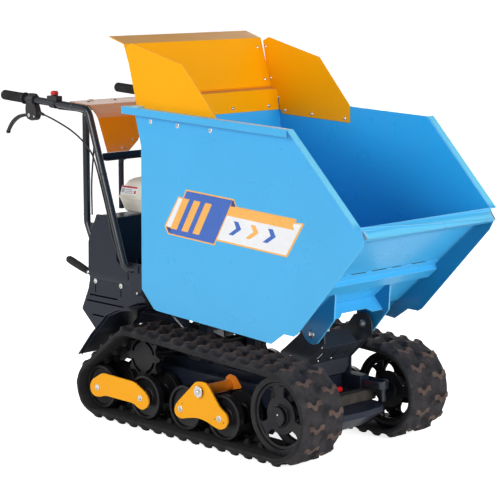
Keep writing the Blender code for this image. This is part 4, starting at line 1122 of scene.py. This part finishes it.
def make_tank():
    """Pressed fuel tank: two shells on a seam flange, a filler cap and a plain label."""
    # (height, distance in from the widest outline, corner radius)
    levels = [
        (0.685, 0.03, 0.028), (0.6865, 0.024, 0.026), (0.69, 0.02, 0.028), (0.712, 0.012, 0.032),
        (0.73, 0.006, 0.034), (0.7342, 0.005, 0.036), (0.7346, 0.0, 0.04), (0.7362, -0.0005, 0.04),
        (0.7386, -0.0005, 0.04), (0.7402, 0.0, 0.04), (0.7406, 0.006, 0.036), (0.76, 0.012, 0.036),
        (0.78, 0.02, 0.036), (0.792, 0.028, 0.036), (0.799, 0.04, 0.034), (0.803, 0.056, 0.03),
        (0.8045, 0.072, 0.02),
    ]
    rings = []
    for z, inset, corner in levels:
        plan = oblong(-0.4 + inset, -0.197 - inset, -0.167 + inset, 0.052 - inset)
        rings.append([(x, y, z) for x, y in filleted(plan, corner, 6)])
    Shape().loft(rings).piece("tank_shell", "chassis", ["cream"], 28, replaces=["fuel_tank"])
    cap = Shape()
    profile = [
        (0, 0), (0.03, 0), (0.0312, 0.002), (0.0312, 0.011), (0.029, 0.015), (0.024, 0.0185),
        (0.0225, 0.02), (0, 0.02),
    ]
    cap.lathe((-0.26, -0.02, 0.8055), UP, profile, 48)
    for k in range(24):
        knurl_x, knurl_y = polar(-0.26, -0.02, 0.0305, 15 * k)
        cap.lathe((knurl_x, knurl_y, 0.807), UP, [(0, 0), (0.0016, 0), (0.0016, 0.01), (0, 0.012)], 8)
    cap.piece("filler_cap", "cap", ["black"], 35, replaces=["fuel_cap"])
    label = Shape()
    # (two x, two shares of the way up, height over the tank, coat number)
    for x0, x1, low, high, lift, mark in (
        (-0.376, -0.295, 0.12, 0.86, 0.0006, 0), (-0.3745, -0.2965, 0.7, 0.84, 0.001, 1),
        (-0.372, -0.358, 0.24, 0.6, 0.001, 2), (-0.352, -0.32, 0.5, 0.56, 0.001, 2),
        (-0.352, -0.312, 0.36, 0.42, 0.001, 2), (-0.352, -0.316, 0.22, 0.28, 0.001, 2),
        (-0.308, -0.299, 0.24, 0.5, 0.001, 1),
    ):
        corners = []
        for x, share in oblong(x0, x1, low, high):
            corners.append(Vector((x, -0.161 + 0.014 * share, 0.7425 + 0.0375 * share)))
        out = Vector((0, -0.937, 0.35))
        label.loft([[p - out * 0.001 for p in corners], [p + out * lift for p in corners]], mark)
    label.piece("tank_label", "chassis", ["white", "label_red", "label_grey"], 30)


def side_box(shape, x, y, z, side):
    """A box given by its x, y and z spans, on one side of the machine."""
    ends = sorted((side * y[0], side * y[1]))
    shape.box((x[0], ends[0], z[0]), (x[1], ends[1], z[1]))


def folded(points, thickness):
    """The (x, z) outline of a sheet bent along a line."""
    inner = [Vector(p) for p in points]
    outer = []
    for i, point in enumerate(inner):
        run = (inner[min(i + 1, len(inner) - 1)] - inner[max(i - 1, 0)]).normalized()
        outer.append(point + Vector((-run.y, run.x)) * thickness)
    return [tuple(p) for p in inner + outer[::-1]]


def guard_bar(side):
    """Outline in plan of the flat bar bent round the front of one rail."""
    corners = [(0.445, 0.139, 0), (0.588, 0.139, 0), (0.588, 0.101, 0), (0.48, 0.101, 0)]
    line = [(0.42, 0.127)] + [(p.x, p.y) for p in rounded(corners, 0.019, 8)]
    return [(x, side * y) for x, y in folded(line, 0.006)]


def make_frame():
    """Welded rails, cross members, roller beams, posts and axles."""
    shape = Shape()
    beam = [
        (-0.338, 0.088), (-0.298, 0.088), (-0.285, 0.13), (-0.13, 0.13), (-0.117, 0.088), (-0.077, 0.088),
        (-0.064, 0.13), (0.455, 0.13), (0.455, 0.195), (-0.285, 0.195), (-0.338, 0.155),
    ]
    ear = [(0.15, 0.188), (0.15, 0.15), (0.225, 0.096), (0.255, 0.096), (0.262, 0.125), (0.2, 0.188)]
    for side, _ in SIDES:
        side_box(shape, (-0.43, 0.51), (0.09, 0.13), (0.165, 0.215), side)
        side_box(shape, (-0.222, -0.19), (0.1, 0.131), (0.205, 0.545), side)
        side_box(shape, (-0.205, -0.15), (0.1205, 0.148), (0.485, 0.5455), side)
        side_box(shape, (-0.385, -0.35), (0.1, 0.1295), (0.205, 0.35), side)
        side_box(shape, (-0.02, 0.02), (0.095, 0.125), (0.205, 0.43), side)
        for x in (-0.285, 0.05, 0.38):
            side_box(shape, (x, x + 0.04), (0.12, 0.175), (0.168, 0.193), side)
        shape.plate(beam, 0.165, 0.185, side)
        shape.plate(ear, 0.031, 0.037, side)
    for low, high in (
        ((-0.425, -0.1, 0.17), (-0.385, 0.1, 0.21)), ((-0.235, -0.1, 0.1655), (-0.065, 0.1, 0.1695)),
        ((0.14, -0.1, 0.17), (0.185, 0.1, 0.208)), ((0.395, -0.1, 0.17), (0.425, 0.1, 0.208)),
        ((-0.0215, -0.128, 0.41), (0.0215, 0.128, 0.4285)),
        ((-0.44, -0.15, 0.345), (-0.145, 0.15, 0.357)),
    ):
        shape.box(low, high)
    shape.piece("frame_rails", "chassis", ["frame"], 30, 0.0018, replaces=["chassis_frame"])
    axles = Shape()
    for side, _ in SIDES:
        out = (0, side, 0)
        x, z = BOGIE_PIVOT
        axles.lathe((IDLER[0], side * 0.12, IDLER[1]), out, rod(0.0125, 0.18), 40)
        axles.lathe((x, side * 0.175, z), out, rod(0.01, 0.148), 32)
        axles.lathe((x, side * 0.3222, z), out, rod(0.015, 0.0066), 32)
    axles.lathe((0.24, -0.04, 0.12), ACROSS, rod(0.01, 0.08), 32)
    axles.piece("axles", "chassis", ["wheel"], 35)


def make_nose():
    """Guard bars bent round the rail ends, the square axle beam and the sloping skid pan."""
    bars = Shape()
    for side, _ in SIDES:
        bars.loft([[(x, y, z) for x, y in guard_bar(side)] for z in (0.18, 0.206)])
        bars.lathe((0.578, side * 0.12, 0.1385), UP, rod(0.0095, 0.045), 32)
    bars.piece("guard_bars", "chassis", ["tube"], 40, 0.0022, 3)
    beam = Shape()
    beam.box((0.5025, -0.135, 0.1385), (0.5375, 0.135, 0.1735))
    beam.piece("axle_beam", "chassis", ["dirty"], 30, 0.003, 3)
    pan = Shape()
    plan = [
        (0.4, -0.12), (0.578, -0.12), (0.606, -0.092), (0.612, 0.0), (0.606, 0.092), (0.578, 0.12),
        (0.4, 0.12),
    ]
    top = [(x, y, 0.141 - 0.1 * max(0.0, x - 0.54)) for x, y in plan]
    lip = [(x, y, z - 0.02) for x, y, z in top]
    keel = [(0.4 + (x - 0.4) * 0.62, y * 0.8, 0.06) for x, y, z in top]
    pan.loft([keel, lip, top])
    pan.piece("skid_pan", "chassis", ["frame"], 30, 0.002)
    small = Shape()
    collar = [(0, 0), (0.0085, 0), (0.0096, 0.002), (0.0096, 0.008), (0, 0.008)]
    barrel = [(0, 0), (0.0092, 0), (0.0092, 0.047), (0.008, 0.05), (0, 0.05)]
    small.lathe((0.47, -0.018, 0.174), ACROSS, collar, 32, 1)
    small.lathe((0.47, -0.01, 0.174), ACROSS, barrel, 32, 0)
    small.box((0.464, -0.006, 0.152), (0.476, 0.032, 0.168), 2)
    small.piece("nose_fittings", "chassis", ["red", "white_plastic", "frame"], 35)


def make_bracket():
    """Upright cheeks with a slotted web between them, and the tub's two hinge bolts."""
    cheek = [(0.449, 0.2155), (0.449, 0.268), (0.541, 0.356)]
    cheek += [polar(*TUB_PIVOT, 0.038, degrees) for degrees in range(10, 136, 10)]
    cheek += [(0.461, 0.409), (0.43, 0.371), (0.379, 0.328), (0.348, 0.303), (0.348, 0.2155)]
    shape = Shape()
    for side, _ in SIDES:
        shape.plate(cheek, 0.108, 0.114, side)
    shape.plate(folded([(0.46, 0.366), (0.508, 0.33), (0.499, 0.3215)], -0.004), -0.078, 0.078)
    leg = [(-0.108, 0.27), (0.108, 0.27), (0.108, 0.236), (0.09, 0.216), (-0.09, 0.216), (-0.108, 0.236)]
    shape.loft([[(x, y, z) for y, z in leg] for x in (0.436, 0.4405)])
    shape.piece("front_cheeks", "chassis", ["bracket"], 30, 0.0012, replaces=["front_bracket"])
    web = Shape().plate([(0.5085, 0.3305), (0.438, 0.263), (0.435, 0.266), (0.5055, 0.3335)], -0.11, 0.11)
    made = web.piece("slotted_web", "chassis", ["bracket"], 30)
    slots = Shape()
    run = Vector((0.69, 0, 0.66)).normalized()
    normal = Vector((0.69, 0, -0.72)) * 0.02
    for y in (-0.06, 0.0, 0.06):
        middle = Vector((0.474, y, 0.2965))
        outline = filleted(oblong(-0.022, 0.022, -0.0055, 0.0055), 0.005, 4)
        rim = [middle + run * a + Vector((0, b, 0)) for a, b in outline]
        slots.loft([[point + normal * way for point in rim] for way in (-1, 1)])
    carve(made, slots)
    bolts = Shape()
    for side, _ in SIDES:
        out = (0, side, 0)
        x, z = TUB_PIVOT
        bolts.lathe((x, side * 0.107, z), out, rod(0.0108, 0.023), 32, 1)
        bolts.bolt((x, side * 0.13, z), out, 0.0074)
        bolts.bolt((x, side * 0.108, z), (0, -side, 0), 0.0074)
    for x, z in ((0.392, 0.245), (0.4215, 0.245), (0.392, 0.29)):
        for side, _ in SIDES:
            bolts.bolt((x, side * 0.114, z), (0, side, 0), 0.0045)
    for y in (-0.06, 0.0):
        bolts.screw((0.458, y + 0.004, 0.279), (0.69, 0, -0.72), 0.004)
    bolts.piece("hinge_bolts", "chassis", ["zinc", "wheel"], 35, replaces=["hinge_pin"])


def make_stays():
    """Brake return springs, and the stop switch's wire with the tub's rest pads."""
    shape = Shape()
    for side, _ in SIDES:
        y = side * 0.15
        for gap in (-0.0022, 0.0022):
            hook = [(-0.124, y + gap, 0.357), (-0.09, y + gap, 0.3345), (-0.056, y + gap, 0.312)]
            shape.tube(hook, 0.001, 10)
        coil = []
        for k in range(120):
            turn = 2 * math.pi * k / 10
            along = k / 119
            middle = Vector((-0.112 + 0.04 * along, y, 0.349 - 0.0262 * along))
            out = Vector((0.55 * math.sin(turn), math.cos(turn), 0.83 * math.sin(turn)))
            coil.append(middle + 0.0036 * out)
        shape.tube(coil, 0.0009, 6)
    shape.piece("return_springs", "chassis", ["zinc"], 60)
    wire = flowing([
        (-0.585, -0.256, 1.03), (-0.46, -0.25, 1.024), (-0.414, -0.244, 0.988), (-0.415, -0.24, 0.923),
        (-0.435, -0.236, 0.791), (-0.44, -0.232, 0.674),
    ])
    shape = Shape().tube(wire, 0.0029, 12)
    pad = [(0, 0), (0.013, 0), (0.0145, 0.002), (0.0125, 0.0062), (0, 0.0066)]
    for y in (-0.11, 0.11):
        shape.lathe((0.0, y, 0.4287), UP, pad, 32)
    shape.piece("switch_wire", "chassis", ["grip"], 40)


def make_hoses():
    """Two hydraulic hoses that run along the frame."""
    shape = Shape()
    for offset in (0.0, 0.014):
        route = [
            (-0.305, -0.15, 0.52 - offset), (-0.25, -0.148, 0.43), (-0.24, -0.06 - offset, 0.33),
            (-0.05, -0.055 - offset, 0.3), (0.19, -0.045 - offset, 0.25),
        ]
        shape.tube(rounded(route, 0.025, 6), 0.0045, 16)
    shape.piece("hoses", "chassis", ["grip"], 40)


# ---------- the tub ----------


def half_width(z):
    """Of the tub at this height: its sides lean outward a little going up."""
    return TUB_HALF + SIDE_LEAN * (z - TUB_FLOOR)


def ramp(along, below):
    """A point this far up the ramp's underside and this far out from it."""
    run = (Vector(RAMP_END) - Vector(RAMP_START)).normalized()
    return (RAMP_START[0] + run.x * along + run.y * below, RAMP_START[1] + run.y * along - run.x * below)


WELD_RIPPLE = 0.004


def weld(shape, start, end, radius):
    """A rippled weld bead between two points."""
    start = Vector(start)
    end = Vector(end)
    count = max(4, int((end - start).length / WELD_RIPPLE))
    along = (end - start).normalized()
    profile = [(0, 0)]
    step = (end - start).length / count
    for k in range(count):
        profile += [
            (radius * 0.8, step * (k + 0.05)), (radius, step * (k + 0.45)),
            (radius * 0.9, step * (k + 0.8)),
        ]
    profile += [(0, step * count)]
    shape.lathe(start, along, profile, 10)


def make_tub_welds():
    """Weld beads under the tub, and three dark strips in its cross rib's seam that paint the shade in its
    gaps.
    """
    inset = 0.0035
    shape = Shape()
    for side, _ in SIDES:
        ends = (ramp(0.02, 0.0005), ramp(0.46, 0.0005))
        low, high = [(x, side * (half_width(z) - inset), z) for x, z in ends]
        weld(shape, low, high, 0.0022)
        y = side * (half_width(0.436) - inset)
        weld(shape, (0.0, y, 0.4355), (0.485, y, 0.4355), 0.0022)
        foot = ramp(0.146, 0.001)
        weld(
            shape, (RAMP_START[0] + 0.01, side * 0.1305, 0.444), (foot[0], side * 0.1305, foot[1]), 0.002,
        )
    for k in range(6):
        middle = -0.235 + 0.094 * k
        at = ramp(0.231, 0.0015)
        weld(shape, (at[0], middle - 0.014, at[1]), (at[0], middle + 0.014, at[1]), 0.002)
    # dark strips just under the ramp: painted shade in the open gaps of the rib's seam between the welds
    for start, end in ((-0.132, -0.059), (-0.036, 0.105), (0.136, 0.222)):
        corners = ((0.2288, 0.0004), (0.2324, 0.0004), (0.2324, 0.0014), (0.2288, 0.0014))
        gap = [ramp(along, below) for along, below in corners]
        shape.plate(gap, start, end, mark=1)
    shape.piece("tub_welds", "tub", ["blue", "frame"], 60)


def make_tub_fixings():
    """Screws that hold the splash guard, on both faces of the sheet."""
    shape = Shape()
    for side, _ in SIDES:
        for x, z in ((-0.045, 1.024), (0.083, 1.019), (0.234, 1.014)):
            lean = Vector((0, side, -SIDE_LEAN)).normalized()
            shape.bolt((x, side * (half_width(z) + 0.0002), z), lean, 0.0044)
            shape.screw((x, side * (half_width(z) - 0.0066), z), -lean, 0.006)
        for x, z in ((-0.159, 1.238), (-0.128, 1.131)):
            shape.screw((x + 0.012, side * (half_width(z) - 0.0066), z), (0, -side, 0), 0.0052)
    front = Vector((0.9896, 0, 0.1438))
    for y in (-0.255, -0.085, 0.085, 0.255):
        shape.screw((-0.0745, y, 1.041), front, 0.0062)
    lean = Vector((0.9483, 0, 0.3173))
    for y in (-0.285, 0.285):
        for z in (1.128, 1.236):
            x = -0.1165 - (z - 1.104) * 0.351
            shape.screw((x + 0.0035, y, z), lean, 0.0055)
    shape.piece("guard_screws", "tub", ["zinc"], 35)


def make_board_seat():
    """The folded lip that closes the joint between the leaning board and its strip."""
    fold = [
        (-0.1212, 1.11), (-0.1242, 1.11), (-0.1242, 1.0905), (-0.106, 1.088), (-0.106, 1.0902),
        (-0.1212, 1.0925),
    ]
    reach = half_width(1.1) - 0.008
    Shape().plate(fold, -reach, reach).piece("board_seat", "tub", ["yellow"], 30, 0.0006)


def panel_label(shape, outline, side, lift, mark):
    """A thin film on the tub's outer side, from (x, z) corners."""
    low = [(x, side * (half_width(z) - 0.0005), z) for x, z in outline]
    high = [(x, side * (half_width(z) + lift), z) for x, z in outline]
    shape.loft([low, high], mark)


def make_labels():
    """Plain banner of coloured panels on each side of the tub."""
    frame_outline = [
        (0.078, 0.793), (0.1, 0.791), (0.114, 0.819), (0.333, 0.8085), (0.344, 0.786), (0.602, 0.774),
        (0.596, 0.763), (0.633, 0.764), (0.558, 0.653), (0.247, 0.669), (0.24, 0.653), (0.022, 0.665),
        (0.007, 0.692),
    ]
    white_fold = [(0.08, 0.789), (0.1, 0.7865), (0.042, 0.689), (0.014, 0.6915)]
    fold = [(0.016, 0.6885), (0.042, 0.6865), (0.034, 0.672), (0.026, 0.6695)]
    navy = [(0.118, 0.814), (0.326, 0.804), (0.236, 0.658), (0.03, 0.669), (0.044, 0.689)]
    back_fold = [(0.326, 0.803), (0.331, 0.804), (0.339, 0.785), (0.318, 0.785)]
    white = [
        (0.3, 0.7545), (0.59, 0.7395), (0.582, 0.759), (0.622, 0.76), (0.554, 0.6585), (0.252, 0.6745),
    ]
    stripe = [(0.317, 0.7825), (0.599, 0.77), (0.585, 0.754), (0.569, 0.741), (0.3, 0.756)]
    # (outline, height over the sheet, coat number)
    layers = [(frame_outline, 0.0004, 2), (white_fold, 0.0007, 1), (fold, 0.0008, 3), (white, 0.0007, 1)]
    layers += [(stripe, 0.0009, 2), (navy, 0.001, 0), (back_fold, 0.0011, 3)]
    arrow = ((0, 0.022), (0.02, 0.021), (0.032, -0.001), (-0.006, -0.024), (-0.026, -0.023), (0.01, 0))
    for side, tag in SIDES:
        shape = Shape()
        for outline, lift, mark in layers:
            panel_label(shape, outline, side, lift, mark)
        for k in range(3):
            x = 0.1 + 0.052 * k
            z = 0.79 - 0.0026 * k
            bar = [(x, z), (x + 0.03, z - 0.0015), (x - 0.035, z - 0.106), (x - 0.065, z - 0.1045)]
            panel_label(shape, bar, side, 0.0013, 2)
        for k in range(3):
            x = 0.33 + 0.075 * k
            z = 0.718 - 0.0035 * k
            chevron = [(x + dx, z + dz) for dx, dz in arrow]
            panel_label(shape, chevron, side, 0.001, 0 if k % 2 == 0 else 2)
        shape.piece("side_banner_" + tag, "tub", ["navy", "white", "amber", "dark_navy"], 30)


# ---------- CAD pieces that stay ----------


def coat_frame():
    """Give the CAD pieces that keep their shape their finished materials."""
    kept = {
        "blue": ["tub", "tub_rib", "tub_hinge"],
        "yellow": ["extension_wing_L", "extension_wing_R", "extension_board", "extension_strip"],
        "orange": ["console_hood"],
        "frame": [
            "hydraulic_oil_tank", "rear_cover", "console_frame", "tub_cylinder_ears", "cylinder_barrel",
        ],
        "alloy": ["engine_block", "gearbox"],
        "exhaust": ["exhaust_box"],
        "chrome": ["cylinder_rod"],
        "black": ["air_cleaner"],
    }
    for coat, nodes in kept.items():
        for node in nodes:
            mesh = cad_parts[node].data
            mesh.materials.clear()
            mesh.materials.append(coats[coat])


# ---------- studio ----------


def aim(thing, at, target):
    thing.location = at
    thing.rotation_euler = (Vector(target) - Vector(at)).to_track_quat("-Z", "Y").to_euler()


def area_light(name, at, target, size, power):
    light = bpy.data.lights.new(name, "AREA")
    light.shape = "RECTANGLE"
    light.size = size[0]
    light.size_y = size[1]
    light.energy = power
    aim(placed(name, light), at, target)


def make_studio():
    mesh = bpy.data.meshes.new("floor")
    reach = 120
    corners = [(x, y, 0) for x, y in oblong(-reach, reach, -reach, reach)]
    mesh.from_pydata(corners, [], [(0, 1, 2, 3)])
    mesh.materials.append(floor_coat())
    floor = placed("floor", mesh)
    area_light("key", (0.4, -4.4, 2.2), (0.1, 0, 0.7), (2.8, 1.6), 76)
    area_light("front", (4.9, 0.1, 1.7), (0.1, 0, 0.7), (2.2, 1.4), 124)
    area_light("fill", (-1.3, -3.4, 2.7), (-0.45, 0, 0.98), (0.9, 0.7), 14)
    area_light("left", (-2.0, 4.4, 2.4), (0, 0, 0.6), (3.0, 1.6), 50)
    area_light("rear", (-4.6, -0.8, 2.2), (0, 0, 0.7), (2.4, 1.6), 40)
    make_sky()


def make_sky():
    """Even white light from low down, dimming overhead."""
    world = bpy.data.worlds.new("studio")
    world.use_nodes = True
    tree = world.node_tree
    place = tree.nodes.new("ShaderNodeTexCoord")
    split = tree.nodes.new("ShaderNodeSeparateXYZ")
    level = tree.nodes.new("ShaderNodeMapRange")
    for name, number in (("From Min", 0.1), ("From Max", 0.6), ("To Min", 0.86), ("To Max", 0.2)):
        level.inputs[name].default_value = number
    tree.links.new(place.outputs["Generated"], split.inputs[0])
    tree.links.new(split.outputs["Z"], level.inputs["Value"])
    tree.links.new(level.outputs["Result"], tree.nodes["Background"].inputs["Strength"])
    tree.nodes["Background"].inputs["Color"].default_value = (1, 1, 1, 1)
    bpy.context.scene.world = world
    bpy.context.scene.view_settings.view_transform = "Standard"


def make_camera():
    lens = bpy.data.cameras.new("camera")
    lens.lens = 132.2
    lens.sensor_width = 36
    made = placed("camera", lens)
    aim(made, (4.373, -4.197, 1.564), (0.0937, 0, 0.5876))
    bpy.context.scene.camera = made


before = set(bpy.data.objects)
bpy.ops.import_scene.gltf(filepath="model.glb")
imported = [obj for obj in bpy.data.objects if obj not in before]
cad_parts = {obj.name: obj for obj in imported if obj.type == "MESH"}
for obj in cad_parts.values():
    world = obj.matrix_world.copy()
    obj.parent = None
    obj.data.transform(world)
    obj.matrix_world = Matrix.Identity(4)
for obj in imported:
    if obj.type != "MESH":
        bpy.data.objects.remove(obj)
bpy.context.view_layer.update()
make_camera()
make_studio()
coats = make_coats()
coat_frame()
belt_line = BeltLine()
for which, label in SIDES:
    make_belt(belt_line, which, label)
    for number in range(len(ROLLER_X)):
        make_roller(which, label, number)
    make_sprocket(which, label)
    make_idler(which, label, FIRST_SPOKE[which])
    make_inner_guards(which, label)
    make_links(which, label)
    make_handle(which, label)
    make_brake_lever(which, label)
    make_brake_cable(which, label)
    make_side_panel(which, label)
    make_track_guard(which, label)
make_console()
make_levers()
make_tank()
make_frame()
make_nose()
make_bracket()
make_stays()
make_hoses()
make_tub_welds()
make_tub_fixings()
make_board_seat()
make_labels()
